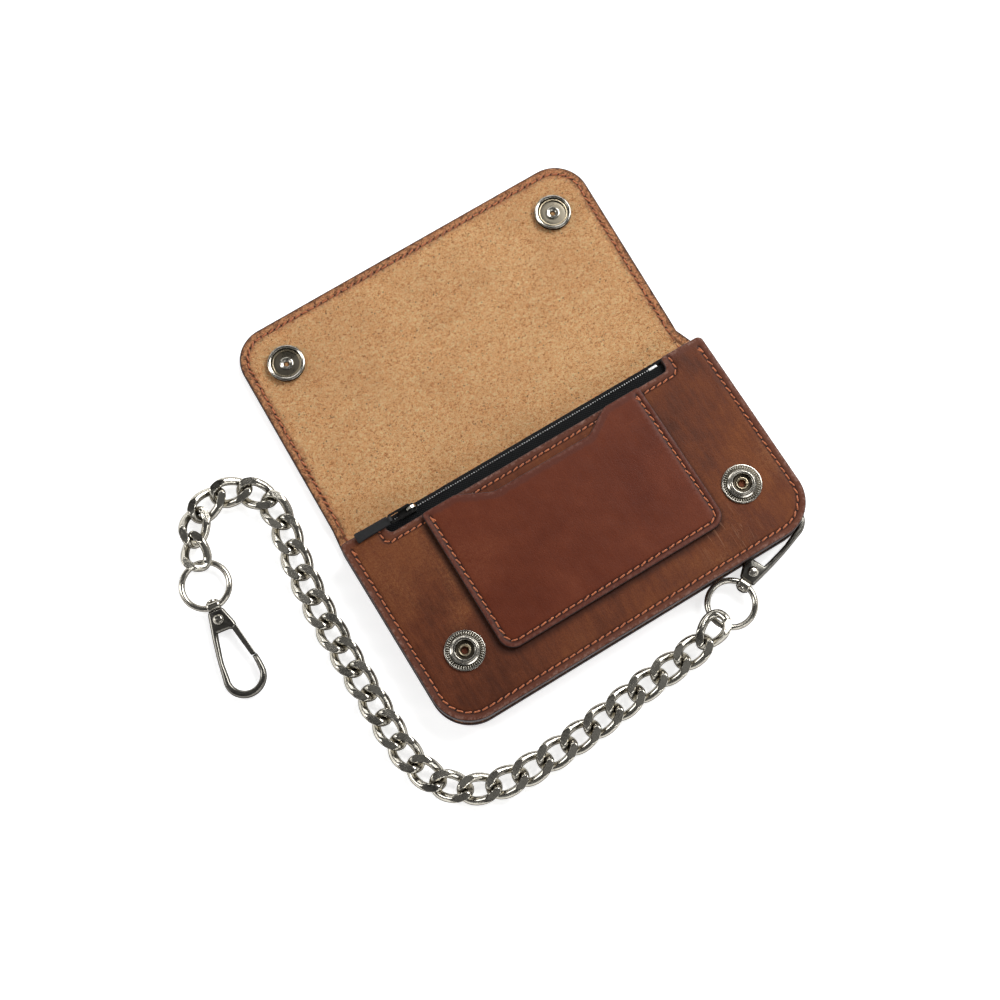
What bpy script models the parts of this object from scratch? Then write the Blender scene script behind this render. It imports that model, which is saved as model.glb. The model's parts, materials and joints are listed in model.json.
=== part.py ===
"""Chain wallet: long leather wallet with a snap-down flap, a zipped compartment, a card pocket
and a curb chain with a swivel hook at each end. It lies open on its back: +X along the fold,
+Y towards the flap, +Z up, origin under the middle of the body. Metres."""

import math

import bmesh
import bpy
import numpy as np
from mathutils import Matrix, Vector

MM = 0.001

# ---- driving dimensions, millimetres ----
GAP = 0.3                      # between pieces that touch
BODY_HALF = 82.5               # half the wallet's length along the fold
BODY_BOTTOM, BODY_TOP = -43.0, 43.0
CORNER = 16.0                  # bottom corner radius
BACK_THICK = 2.2
BILL_GAP = 4.0                 # between the back and the front section
MIDDLE_THICK = 1.4
WELT_THICK = 1.4
FRONT_THICK = 2.2
POCKET_THICK = 1.4

MIDDLE_Z = BACK_THICK + BILL_GAP
WELT_Z = MIDDLE_Z + MIDDLE_THICK + GAP
FRONT_Z = WELT_Z + WELT_THICK + GAP
FACE_Z = FRONT_Z + FRONT_THICK
POCKET_Z = FACE_Z + GAP
POCKET_TOP = POCKET_Z + POCKET_THICK

# flap: the back's leather goes on as a fold strip and the flap
FLAP_THICK = 2.2
FLAP_Z = 1.3                   # its underside, held up by the snap caps
FOLD_Z = FLAP_Z + FLAP_THICK / 2
FOLD_Y = BODY_TOP + 1.8        # first hinge line
FOLD_WIDTH = 14.0              # first to second hinge line
FLAP_Y = FOLD_Y + FOLD_WIDTH   # second hinge line
FLAP_HALF = 81.5
FLAP_END = 140.0
FLAP_CORNER = 15.0
HINGE_GAP = 0.35

# zip
NOTCH_HALF, NOTCH_DEPTH = 63.5, 5.8
TAPE_HALF, TAPE_THICK = 66.0, 0.5
TAPE_Z = FRONT_Z - GAP - TAPE_THICK
TEETH_Y, TEETH_HALF = 41.5, 0.9
TEETH_Z0, TEETH_Z1 = 8.3, 10.1
TEETH_X0, TEETH_X1 = -62.5, 59.0
TOOTH_PITCH, TOOTH_CUT = 4.5, 0.35
STOP_LENGTH = 2.4
SLIDER_X, SLIDER_LENGTH = -53.0, 8.0
SLIDER_HALF, SLIDER_IN = 1.9, 1.2
SLIDER_Z0, SLIDER_ROOF, SLIDER_TOP = 9.6, 10.4, 11.4
SLIDE_TRAVEL = 105.0
BAIL_Z = 12.9                  # height of the puller's pivot
BAIL_LENGTH, BAIL_HALF = 9.6, 1.55
PIN_RADIUS, LUG_HALF = 0.5, 0.6
TAB_LENGTH, TAB_HALF, TAB_THICK, TAB_CORNER = 14.0, 2.0, 1.6, 0.6

# snaps
SNAP_X, STUD_Y = 62.5, -17.0
SOCKET_Y = FLAP_Y + (FOLD_Y - STUD_Y)
STUD_Z = FACE_Z + GAP
SOCKET_Z = FLAP_Z + FLAP_THICK + GAP
BARREL_HOLE = 2.2

# pocket
POCKET_HALF, POCKET_LOW, POCKET_HIGH = 49.5, -26.5, 37.0
POCKET_CORNER = 5.0
THUMB_HALF_TOP, THUMB_HALF_LOW, THUMB_DEPTH = 33.5, 21.5, 6.8

# hooks
HOOK_DEPTH = 3.4
HOOK_THICK = 2.1               # the loop's bar, in plane
LOOP_U, LOOP_V, LOOP_R = 28.2, 1.5, 7.1
TIP_IN = LOOP_U + LOOP_R - HOOK_THICK / 2
GATE_U, GATE_V, GATE_EYE = 8.0, 4.4, 1.3
RING_RADIUS, RING_WIRE = 9.2, 1.2
RING_OFFSET = 10.7             # ring centre behind the hook's plate
COLLAR_RADIUS, COLLAR_BORE, SHANK_RADIUS = 2.4, 1.65, 1.25
HOOK1_Z, HOOK2_Z = 4.2, 2.5
HOOK1_HEADING, HOOK2_HEADING = 23.4, -98.5
POST_RADIUS = 2.0
POST_X, POST_Y = 73.1, -35.2

# chain
LINKS = 29
PITCH = 10.8
WIRE = 1.3                     # wire radius
LINK_A, LINK_B = 6.95, 4.4     # half length and half width of the wire's centre line
LINK_TWIST = -45.0
LINK_SQUARE = 2.6
LINK_POINTS = 14
LINK_Z = 3.4
END_REACH = 4.1                # ring wire to the centre of an end link
FIRST_HEADING = -157.0
# (links, degrees each one turns from the link before it)
BENDS = ((1, -17), (1, -4), (2, 3), (4, -2), (1, -8), (1, -17), (2, -22), (1, -14), (1, -7),
         (4, 0), (4, -3), (1, 12), (4, 35), (1, 27))
# links next to the rings stand higher: roll, pitch, height
END_LINKS = {1: (-18.3, -19.8, 5.96), 2: (0.4, -6.1, 4.51),
             28: (8.7, -5.7, 3.63), 29: (-13.8, -11.3, 5.11)}

ROUND = 20                     # facets round a turned piece


# ---- scene helpers ----
def clear_scene():
    for obj in list(bpy.data.objects):
        bpy.data.objects.remove(obj, do_unlink=True)
    for coll in list(bpy.data.collections):
        bpy.data.collections.remove(coll)


clear_scene()
WALLET = bpy.data.collections.new("chain_wallet")
bpy.context.scene.collection.children.link(WALLET)


def material(name, colour, roughness, metallic=0.0):
    mat = bpy.data.materials.get(name) or bpy.data.materials.new(name)
    mat.use_nodes = True
    shader = mat.node_tree.nodes["Principled BSDF"]
    shader.inputs["Base Color"].default_value = (*colour, 1.0)
    shader.inputs["Roughness"].default_value = roughness
    shader.inputs["Metallic"].default_value = metallic
    mat.diffuse_color = (*colour, 1.0)
    return mat


BROWN = (0.16, 0.06, 0.03)
SUEDE = (0.62, 0.38, 0.20)
NICKEL = (0.62, 0.60, 0.56)
BLACK = (0.012, 0.012, 0.013)


def add_mesh(name, mesh, colour, roughness, metallic=0.0, smooth=False):
    """An object of its own material, with outward normals and welded points."""
    work = bmesh.new()
    work.from_mesh(mesh)
    bmesh.ops.remove_doubles(work, verts=work.verts, dist=0.002 * MM)
    bmesh.ops.recalc_face_normals(work, faces=work.faces)
    work.to_mesh(mesh)
    work.free()
    mesh.name = name
    mesh.materials.clear()
    mesh.materials.append(material("mat_" + name, colour, roughness, metallic))
    for poly in mesh.polygons:
        poly.use_smooth = smooth
    obj = bpy.data.objects.new(name, mesh)
    WALLET.objects.link(obj)
    return obj


def evaluated(obj):
    """A plain mesh of an object with its modifiers, in world axes; the object is removed."""
    bpy.context.view_layer.update()
    graph = bpy.context.evaluated_depsgraph_get()
    mesh = bpy.data.meshes.new_from_object(obj.evaluated_get(graph))
    mesh.transform(obj.matrix_world)
    bpy.data.objects.remove(obj, do_unlink=True)
    return mesh


def set_origin(obj, point):
    """Move an object's origin to a world point in millimetres, its shape staying put."""
    target = Vector(point) * MM
    obj.data.transform(Matrix.Translation(obj.location - target))
    obj.location = target
    return obj


def flat_mesh(outline, z0, z1, holes=()):
    """An outline in millimetres filled and extruded between two heights."""
    curve = bpy.data.curves.new("outline", "CURVE")
    curve.dimensions = "2D"
    curve.fill_mode = "BOTH"
    curve.extrude = (z1 - z0) / 2 * MM
    for loop in (outline, *holes):
        spline = curve.splines.new("POLY")
        spline.points.add(len(loop) - 1)
        spline.use_cyclic_u = True
        for point, (x, y) in zip(spline.points, loop):
            point.co = (x * MM, y * MM, 0.0, 1.0)
    obj = bpy.data.objects.new("outline", curve)
    WALLET.objects.link(obj)
    mesh = evaluated(obj)
    mesh.transform(Matrix.Translation((0, 0, (z0 + z1) / 2 * MM)))
    return mesh


def weld(mesh):
    work = bmesh.new()
    work.from_mesh(mesh)
    bmesh.ops.remove_doubles(work, verts=work.verts, dist=0.002 * MM)
    bmesh.ops.recalc_face_normals(work, faces=work.faces)
    work.to_mesh(mesh)
    work.free()
    return mesh


def bevelled(mesh, width):
    """The mesh with its sharp rims eased, as a burnished leather edge is."""
    obj = bpy.data.objects.new("rim", weld(mesh))
    WALLET.objects.link(obj)
    mod = obj.modifiers.new("rim", "BEVEL")
    mod.width = width * MM
    mod.segments = 1
    mod.limit_method = "ANGLE"
    mod.angle_limit = math.radians(50)
    return evaluated(obj)


def turned_mesh(profile, closed=False):
    """A profile of (radius, height) in millimetres turned about Z."""
    mesh = bpy.data.meshes.new("profile")
    edges = [(i, i + 1) for i in range(len(profile) - 1)]
    if closed:
        edges.append((len(profile) - 1, 0))
    mesh.from_pydata([(r * MM, 0.0, z * MM) for r, z in profile], edges, [])
    obj = bpy.data.objects.new("profile", mesh)
    WALLET.objects.link(obj)
    mod = obj.modifiers.new("turn", "SCREW")
    mod.axis = "Z"
    mod.steps = mod.render_steps = ROUND
    mod.use_merge_vertices = True
    mod.merge_threshold = 0.00001
    return weld(evaluated(obj))


def wire_mesh(points, radius, cyclic):
    """A round wire along points in millimetres."""
    curve = bpy.data.curves.new("wire", "CURVE")
    curve.dimensions = "3D"
    curve.bevel_depth = radius * MM
    curve.bevel_resolution = 2
    curve.use_fill_caps = not cyclic
    spline = curve.splines.new("POLY")
    spline.points.add(len(points) - 1)
    spline.use_cyclic_u = cyclic
    for point, co in zip(spline.points, points):
        point.co = (*(c * MM for c in co), 1.0)
    obj = bpy.data.objects.new("wire", curve)
    WALLET.objects.link(obj)
    return weld(evaluated(obj))


def combine(mesh, other, operation):
    """Boolean of two plain meshes."""
    a = bpy.data.objects.new("base", weld(mesh))
    b = bpy.data.objects.new("tool", weld(other))
    for obj in (a, b):
        WALLET.objects.link(obj)
    mod = a.modifiers.new("cut", "BOOLEAN")
    mod.operation = operation
    mod.solver = "EXACT"
    mod.object = b
    mesh = evaluated(a)
    bpy.data.objects.remove(b, do_unlink=True)
    return mesh


def moved(mesh, matrix):
    mesh.transform(matrix)
    return mesh


def shift(x, y, z):
    return Matrix.Translation((x * MM, y * MM, z * MM))


# ---- outline helpers, millimetres ----
def rounded(corners, steps=6):
    """A polygon from (x, y, radius) corners given anticlockwise."""
    out = []
    n = len(corners)
    for i, (x, y, r) in enumerate(corners):
        here = np.array((x, y), float)
        if r <= 0:
            out.append((x, y))
            continue
        back = np.array(corners[i - 1][:2], float) - here
        on = np.array(corners[(i + 1) % n][:2], float) - here
        back /= np.linalg.norm(back)
        on /= np.linalg.norm(on)
        half = math.acos(float(np.clip(back @ on, -1, 1))) / 2
        reach = r / math.tan(half)
        middle = here + (back + on) / np.linalg.norm(back + on) * r / math.sin(half)
        a, b = here + back * reach - middle, here + on * reach - middle
        t0 = math.atan2(a[1], a[0])
        turn = (math.atan2(b[1], b[0]) - t0 + math.pi) % (2 * math.pi) - math.pi
        for k in range(steps + 1):
            t = t0 + turn * k / steps
            out.append((float(middle[0] + r * math.cos(t)), float(middle[1] + r * math.sin(t))))
    return out


def circle(x, y, r, steps=ROUND):
    return [(x + r * math.cos(2 * math.pi * k / steps), y + r * math.sin(2 * math.pi * k / steps))
            for k in range(steps)]


def box(x0, x1, y0, y1):
    return [(x0, y0), (x1, y0), (x1, y1), (x0, y1)]


def direction(degrees):
    return np.array((math.cos(math.radians(degrees)), math.sin(math.radians(degrees))))


# ---- leather body ----
back = flat_mesh(rounded([(-BODY_HALF, BODY_BOTTOM, CORNER), (BODY_HALF, BODY_BOTTOM, CORNER),
                          (BODY_HALF, FOLD_Y - FLAP_THICK / 2 - HINGE_GAP, 0),
                          (-BODY_HALF, FOLD_Y - FLAP_THICK / 2 - HINGE_GAP, 0)]), 0, BACK_THICK)
add_mesh("back_panel", bevelled(back, 0.4), BROWN, 0.6)


def hinged_strip(half, y0, y1, corner):
    """A leather strip whose near edge is round about its hinge line at y0."""
    rear = flat_mesh(rounded([(-half, y0, 0), (half, y0, 0), (half, y1, corner), (-half, y1, corner)]),
                     FLAP_Z, FLAP_Z + FLAP_THICK)
    knuckle = moved(turned_mesh([(0, half), (FLAP_THICK / 2, half), (FLAP_THICK / 2, -half), (0, -half)]),
                    shift(0, y0, FOLD_Z) @ Matrix.Rotation(math.pi / 2, 4, "Y"))
    return combine(rear, knuckle, "UNION")


spine = hinged_strip(BODY_HALF - 1.0, FOLD_Y, FLAP_Y - FLAP_THICK / 2 - HINGE_GAP, 0)
set_origin(add_mesh("fold_spine", spine, SUEDE, 0.9), (0, FOLD_Y, FOLD_Z))

flap = hinged_strip(FLAP_HALF, FLAP_Y, FLAP_END, FLAP_CORNER)
for side in (-1, 1):
    flap = combine(flap, flat_mesh(circle(side * SNAP_X, SOCKET_Y, BARREL_HOLE), FLAP_Z - 1,
                                   FLAP_Z + FLAP_THICK + 1), "DIFFERENCE")
set_origin(add_mesh("flap", flap, SUEDE, 0.9), (0, FLAP_Y, FOLD_Z))


def side_band(inset, width, right_end):
    """The left and bottom run of a spacer, ending at right_end along the bottom."""
    out_x, out_y = BODY_HALF - inset, BODY_BOTTOM + inset
    outer = rounded([(-out_x, BODY_TOP - 1, 0), (-out_x, out_y, CORNER - inset), (right_end, out_y, 0)])
    inner = rounded([(right_end, out_y + width, 0),
                     (-out_x + width, out_y + width, max(CORNER - inset - width, 1.0)),
                     (-out_x + width, BODY_TOP - 1, 0)])
    return outer + inner


add_mesh("bill_gusset", flat_mesh(side_band(3.0, 6.0, 34.0), BACK_THICK + GAP, MIDDLE_Z - GAP), BROWN, 0.7)

body_outline = rounded([(-BODY_HALF, BODY_BOTTOM, CORNER), (BODY_HALF, BODY_BOTTOM, CORNER),
                        (BODY_HALF, BODY_TOP, 0), (-BODY_HALF, BODY_TOP, 0)])
add_mesh("middle_panel", flat_mesh(body_outline, MIDDLE_Z, MIDDLE_Z + MIDDLE_THICK), BROWN, 0.7)

WELT_WIDTH = 7.0
welt = rounded([(-BODY_HALF, BODY_TOP, 0), (-BODY_HALF, BODY_BOTTOM, CORNER),
                (BODY_HALF, BODY_BOTTOM, CORNER), (BODY_HALF, BODY_TOP, 0)])
inner_half, inner_low = BODY_HALF - WELT_WIDTH, BODY_BOTTOM + WELT_WIDTH
welt += rounded([(inner_half, BODY_TOP, 0), (inner_half, inner_low, CORNER - WELT_WIDTH),
                 (-inner_half, inner_low, CORNER - WELT_WIDTH), (-inner_half, BODY_TOP, 0)])
add_mesh("zip_welt", flat_mesh(welt, WELT_Z, WELT_Z + WELT_THICK), BROWN, 0.7)

notch_floor = BODY_TOP - NOTCH_DEPTH
front_outline = rounded([(-BODY_HALF, BODY_BOTTOM, CORNER), (BODY_HALF, BODY_BOTTOM, CORNER),
                         (BODY_HALF, BODY_TOP, 0), (NOTCH_HALF, BODY_TOP, 0),
                         (NOTCH_HALF, notch_floor, 1.0), (-NOTCH_HALF, notch_floor, 1.0),
                         (-NOTCH_HALF, BODY_TOP, 0), (-BODY_HALF, BODY_TOP, 0)])
stud_holes = [circle(side * SNAP_X, STUD_Y, BARREL_HOLE, 16) for side in (-1, 1)]
front = flat_mesh(front_outline, FRONT_Z, FACE_Z, stud_holes)
add_mesh("front_panel", front, BROWN, 0.55)

pocket = rounded([(-POCKET_HALF, POCKET_LOW, POCKET_CORNER), (POCKET_HALF, POCKET_LOW, POCKET_CORNER),
                  (POCKET_HALF, POCKET_HIGH, 0), (THUMB_HALF_TOP, POCKET_HIGH, 0),
                  (THUMB_HALF_LOW, POCKET_HIGH - THUMB_DEPTH, 3.0),
                  (-THUMB_HALF_LOW, POCKET_HIGH - THUMB_DEPTH, 3.0),
                  (-THUMB_HALF_TOP, POCKET_HIGH, 0), (-POCKET_HALF, POCKET_HIGH, 0)])
add_mesh("card_pocket", bevelled(flat_mesh(pocket, POCKET_Z, POCKET_TOP), 0.35), BROWN, 0.5)

# rivet post across the open corner
POST_LOW, POST_HIGH = BACK_THICK + GAP, MIDDLE_Z - GAP
post = turned_mesh([(0, POST_HIGH), (POST_RADIUS, POST_HIGH), (POST_RADIUS, POST_LOW), (0, POST_LOW)])
add_mesh("corner_post", moved(post, shift(POST_X, POST_Y, 0)), NICKEL, 0.3, 1.0, True)

# ---- zip ----
add_mesh("zip_tape_front", flat_mesh(box(-TAPE_HALF, TAPE_HALF, notch_floor - 3.6, TEETH_Y - SLIDER_IN),
                                     TAPE_Z, TAPE_Z + TAPE_THICK), BLACK, 0.85)
add_mesh("zip_tape_back", flat_mesh(box(-TAPE_HALF, TAPE_HALF, TEETH_Y + SLIDER_IN, TEETH_Y + SLIDER_IN + TAPE_THICK),
                                    MIDDLE_Z + MIDDLE_THICK + GAP, TAPE_Z + TAPE_THICK), BLACK, 0.85)


def teeth_outline():
    """A bar with a shallow notch on both sides between teeth, and the wider stop at its right end."""
    low, high = [], []
    x = TEETH_X0
    while x + TOOTH_PITCH <= TEETH_X1 + 1e-6:
        for dx, cut in ((0.0, 0), (TOOTH_PITCH * 0.55, 0), (TOOTH_PITCH * 0.55, TOOTH_CUT),
                        (TOOTH_PITCH, TOOTH_CUT)):
            low.append((x + dx + (0.01 if dx == 0.0 else 0.0), TEETH_Y - TEETH_HALF + cut))
            high.append((x + dx + (0.01 if dx == 0.0 else 0.0), TEETH_Y + TEETH_HALF - cut))
        x += TOOTH_PITCH
    for edge, sign in ((low, -1), (high, 1)):
        edge.append((x + 0.01, TEETH_Y + sign * TEETH_HALF))
        edge.append((x + STOP_LENGTH, TEETH_Y + sign * TEETH_HALF))
    return low + high[::-1]


add_mesh("zip_teeth", flat_mesh(teeth_outline(), TEETH_Z0, TEETH_Z1), (0.5, 0.5, 0.5), 0.35, 1.0)

# slider: a roof over the teeth with a flange down each side and a lug for the bail's pin
half_l = SLIDER_LENGTH / 2
slider = flat_mesh(rounded([(-half_l, -SLIDER_HALF, 0.8), (half_l, -SLIDER_HALF, 0.8),
                            (half_l, SLIDER_HALF, 0.8), (-half_l, SLIDER_HALF, 0.8)], 3),
                   SLIDER_Z0, SLIDER_TOP)
slider = combine(slider, flat_mesh(box(-half_l - 1, half_l + 1, -SLIDER_IN, SLIDER_IN),
                                   SLIDER_Z0 - 1, SLIDER_ROOF), "DIFFERENCE")
LUG_X = 1.6
lug = flat_mesh(box(LUG_X - 1.3, LUG_X + 1.3, -LUG_HALF, LUG_HALF), SLIDER_TOP - 0.4, BAIL_Z + 1.0)
slider = combine(slider, lug, "UNION")
pin_hole = moved(turned_mesh([(0, 3), (PIN_RADIUS + 0.25, 3), (PIN_RADIUS + 0.25, -3), (0, -3)]),
                 shift(LUG_X, 0, BAIL_Z) @ Matrix.Rotation(math.pi / 2, 4, "X"))
slider = combine(slider, pin_hole, "DIFFERENCE")
PIVOT_X = SLIDER_X + LUG_X
add_mesh("zip_slider", moved(slider, shift(SLIDER_X, TEETH_Y, 0)), NICKEL, 0.3, 1.0)
set_origin(bpy.data.objects["zip_slider"], (SLIDER_X, TEETH_Y, SLIDER_ROOF))

# bail: a wire frame whose near bar is the pin through the slider's lug
bail = wire_mesh([(0, -BAIL_HALF, 0), (-BAIL_LENGTH, -BAIL_HALF, 0), (-BAIL_LENGTH, BAIL_HALF, 0),
                  (0, BAIL_HALF, 0)], PIN_RADIUS, True)
bail_obj = add_mesh("zip_bail", moved(bail, shift(PIVOT_X, TEETH_Y, BAIL_Z)), NICKEL, 0.25, 1.0)
set_origin(bail_obj, (PIVOT_X, TEETH_Y, BAIL_Z))

# leather tab: butts against the bail's far bar
tab_x = PIVOT_X - BAIL_LENGTH - PIN_RADIUS - GAP
tab = flat_mesh(rounded([(tab_x - TAB_LENGTH, TEETH_Y - TAB_HALF, TAB_CORNER), (tab_x, TEETH_Y - TAB_HALF, 0),
                         (tab_x, TEETH_Y + TAB_HALF, 0), (tab_x - TAB_LENGTH, TEETH_Y + TAB_HALF, TAB_CORNER)], 2),
                BAIL_Z - TAB_THICK / 2, BAIL_Z + TAB_THICK / 2)
add_mesh("pull_tab", tab, BLACK, 0.6)
set_origin(bpy.data.objects["pull_tab"], (PIVOT_X, TEETH_Y, BAIL_Z))

# ---- snaps ----
STUD = [(2.2, 0.0), (7.7, 0.0), (7.7, 0.35), (6.9, 0.6), (5.4, 0.65), (4.8, 1.0), (4.9, 1.8), (4.7, 2.2),
        (3.6, 2.2), (3.6, 0.9), (2.2, 0.9)]
EYELET_LOW, EYELET_TIP = FRONT_Z - GAP - 0.4, STUD_Z + 1.7
EYELET = [(0, EYELET_TIP - 3.0), (0.9, EYELET_TIP - 3.0), (0.9, EYELET_TIP), (2.7, EYELET_TIP),
          (2.7, EYELET_TIP - 0.4), (1.8, EYELET_TIP - 0.5), (1.8, EYELET_LOW + 0.4),
          (4.5, EYELET_LOW + 0.4), (4.5, EYELET_LOW), (0, EYELET_LOW)]
SOCKET = [(2.2, 0.0), (7.5, 0.0), (7.5, 1.6), (7.1, 2.0), (5.6, 2.0), (5.4, 1.7), (5.4, 0.4), (2.2, 0.4)]
CAP_TOP = FLAP_Z - GAP
FLARE = SOCKET_Z + 0.9
CAP = [(0, FLARE - 2.0), (0.9, FLARE - 2.0), (0.9, FLARE), (2.8, FLARE), (2.8, FLARE - 0.3),
       (1.7, FLARE - 0.4), (1.7, CAP_TOP), (7.0, CAP_TOP), (7.4, CAP_TOP - 0.3), (6.6, 0.05), (0, 0.0)]
for side, word in ((-1, "left"), (1, "right")):
    x = side * SNAP_X
    add_mesh("stud_" + word, moved(turned_mesh(STUD, True), shift(x, STUD_Y, STUD_Z)), NICKEL, 0.28, 1.0, True)
    add_mesh("stud_eyelet_" + word, moved(turned_mesh(EYELET), shift(x, STUD_Y, 0)), NICKEL, 0.3, 1.0, True)
    add_mesh("socket_" + word, moved(turned_mesh(SOCKET, True), shift(x, SOCKET_Y, SOCKET_Z)), NICKEL, 0.28, 1.0, True)
    add_mesh("cap_" + word, moved(turned_mesh(CAP), shift(x, SOCKET_Y, 0)), NICKEL, 0.3, 1.0, True)
    for part in ("socket_", "cap_"):
        set_origin(bpy.data.objects[part + word], (0, FLAP_Y, FOLD_Z))


# ---- hooks: u runs from the ring to the tip, v to its left ----
def offset(path, distance):
    """A path moved sideways."""
    path = np.array(path, float)
    tangent = np.gradient(path, axis=0)
    tangent /= np.linalg.norm(tangent, axis=1)[:, None]
    normal = np.stack([-tangent[:, 1], tangent[:, 0]], axis=1)
    return [tuple(p) for p in path + normal * distance]


def hook_outline():
    bar = [(8.6, -3.5), (14.5, -4.4), (20.5, -5.2)]
    for k in range(11):
        t = math.radians(-100 + 195 * k / 10)
        bar.append((LOOP_U + LOOP_R * math.cos(t), LOOP_V + LOOP_R * math.sin(t)))
    bar.append((22.0, 7.9))
    outer = offset(bar, -HOOK_THICK / 2)
    inner = offset(bar, HOOK_THICK / 2)
    plate = [(8.4, 2.2), (6.4, 2.5), (5.7, 3.8), (0.0, 3.1), (0.0, -3.1)]
    return outer + inner[::-1] + plate


def place(heading, x, y, z):
    return shift(x, y, z) @ Matrix.Rotation(math.radians(heading), 4, "Z")


ALONG_U = Matrix.Rotation(math.pi / 2, 4, "Y")
RIVET_U = 4.2


def hook(prefix, heading, ring_centre, z):
    """One swivel hook. Returns its plate origin and placement."""
    origin = np.array(ring_centre) + RING_OFFSET * direction(heading)
    frame = place(heading, origin[0], origin[1], z)
    half = HOOK_DEPTH / 2
    body = flat_mesh(hook_outline(), -half, half)
    shank = moved(turned_mesh([(0, 1.0), (SHANK_RADIUS, 1.0), (SHANK_RADIUS, -3.1), (2.0, -3.1),
                               (2.0, -4.2), (1.5, -4.5), (0, -4.5)]), ALONG_U)
    body = combine(body, shank, "UNION")
    body = combine(body, flat_mesh(circle(RIVET_U, 0, 1.3, 12), half - 2.4, half + 1), "DIFFERENCE")
    add_mesh(prefix + "_body", moved(body, frame), NICKEL, 0.22, 1.0)
    rivet = turned_mesh([(0, 1.2), (1.3, 1.0), (2.1, 0.3), (2.1, 0.0), (0.95, 0.0), (0.95, -2.2), (0, -2.2)])
    add_mesh(prefix + "_rivet", moved(rivet, frame @ shift(RIVET_U, 0, half + GAP)), NICKEL, 0.25, 1.0, True)
    gate = [(21.2, 6.6), (21.4, 8.4)]
    for k in range(8):
        t = math.radians(104 + 180 * k / 7)
        gate.append((GATE_U + GATE_EYE * math.cos(t), GATE_V + GATE_EYE * math.sin(t)))
    add_mesh(prefix + "_gate", moved(flat_mesh(gate, -half + 0.4, half - 0.4), frame), NICKEL, 0.25, 1.0)
    ring_path = [(RING_RADIUS * math.cos(2 * math.pi * (k + 0.5) / 20), RING_RADIUS * math.sin(2 * math.pi * (k + 0.5) / 20), 0)
                 for k in range(20)]
    ring = wire_mesh(ring_path, RING_WIRE, True)
    collar = moved(turned_mesh([(0, -0.4), (COLLAR_RADIUS, -0.4), (COLLAR_RADIUS, -2.7), (0, -2.7)]),
                   shift(RING_OFFSET, 0, 0) @ ALONG_U)
    bore = moved(turned_mesh([(0, 3.0), (COLLAR_BORE, 3.0), (COLLAR_BORE, -6.0), (0, -6.0)]),
                 shift(RING_OFFSET, 0, 0) @ ALONG_U)
    ring = combine(combine(ring, collar, "UNION"), bore, "DIFFERENCE")
    add_mesh(prefix + "_ring", moved(ring, frame @ shift(-RING_OFFSET, 0, 0)), NICKEL, 0.2, 1.0, False)
    gate_at = origin + GATE_U * direction(heading) + GATE_V * direction(heading + 90)
    set_origin(bpy.data.objects[prefix + "_gate"], (*gate_at, z))
    return origin


# the clipped hook's loop closes round the corner post, its tip just past it
post_in_hook = (TIP_IN - POST_RADIUS - 0.5, LOOP_V)
hook1_origin = (np.array((POST_X, POST_Y)) - post_in_hook[0] * direction(HOOK1_HEADING)
                - post_in_hook[1] * direction(HOOK1_HEADING + 90))
ring1_centre = hook1_origin - RING_OFFSET * direction(HOOK1_HEADING)
hook("hook1", HOOK1_HEADING, ring1_centre, HOOK1_Z)
for part in ("hook1_body", "hook1_rivet"):
    set_origin(bpy.data.objects[part], (POST_X, POST_Y, HOOK1_Z))
set_origin(bpy.data.objects["hook1_ring"], (*hook1_origin, HOOK1_Z))


# ---- chain ----
def link_path():
    """Centre line of one curb link: a squared oval twisted about its length."""
    path = []
    for k in range(LINK_POINTS):
        t = 2 * math.pi * (k + 0.5) / LINK_POINTS
        c, s = math.cos(t), math.sin(t)
        u = LINK_A * math.copysign(abs(c) ** (2 / LINK_SQUARE), c)
        r = LINK_B * math.copysign(abs(s) ** (2 / LINK_SQUARE), s)
        turn = math.radians(LINK_TWIST) * u / LINK_A
        path.append((u, r * math.cos(turn), r * math.sin(turn)))
    return path


turns = [t for count, t in BENDS for _ in range(count)]
heading = FIRST_HEADING
joint = ring1_centre + RING_RADIUS * direction(FIRST_HEADING)
reach_in = END_REACH
for number in range(1, LINKS + 1):
    if number > 1:
        heading += turns[number - 2]
    centre = joint + reach_in * direction(heading)
    roll, pitch, height = END_LINKS.get(number, (0.0, 0.0, LINK_Z))
    facing = heading + (180 if number > LINKS // 2 else 0)
    frame = (place(facing, centre[0], centre[1], height)
             @ Matrix.Rotation(math.radians(-pitch), 4, "Y")
             @ Matrix.Rotation(math.radians(roll), 4, "X"))
    link = wire_mesh(link_path(), WIRE, True)
    obj = add_mesh(f"link_{number:02d}", moved(link, frame), NICKEL, 0.25, 1.0, True)
    set_origin(obj, (joint[0], joint[1], height))
    reach_in = PITCH / 2
    joint = centre + (END_REACH if number == LINKS else PITCH / 2) * direction(heading)

# ---- free hook ----
ring2_centre = joint + RING_RADIUS * direction(heading)
hook2_origin = hook("hook2", HOOK2_HEADING, ring2_centre, HOOK2_Z)
set_origin(bpy.data.objects["hook2_ring"], (joint[0], joint[1], HOOK2_Z))
for part in ("hook2_body", "hook2_rivet"):
    set_origin(bpy.data.objects[part], (*hook2_origin, HOOK2_Z))
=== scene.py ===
"""The looks of a chain wallet lying open on a table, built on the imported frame: distressed leather,
suede lining, stitching, zip, snaps, curb chain and swivel hooks. Lengths are millimetres times MM."""

import json
from math import acos, atan2, ceil, copysign, cos, pi, radians, sin, tan

import bpy
import numpy as np
from mathutils import Matrix, Vector
from mathutils.geometry import delaunay_2d_cdt


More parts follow.
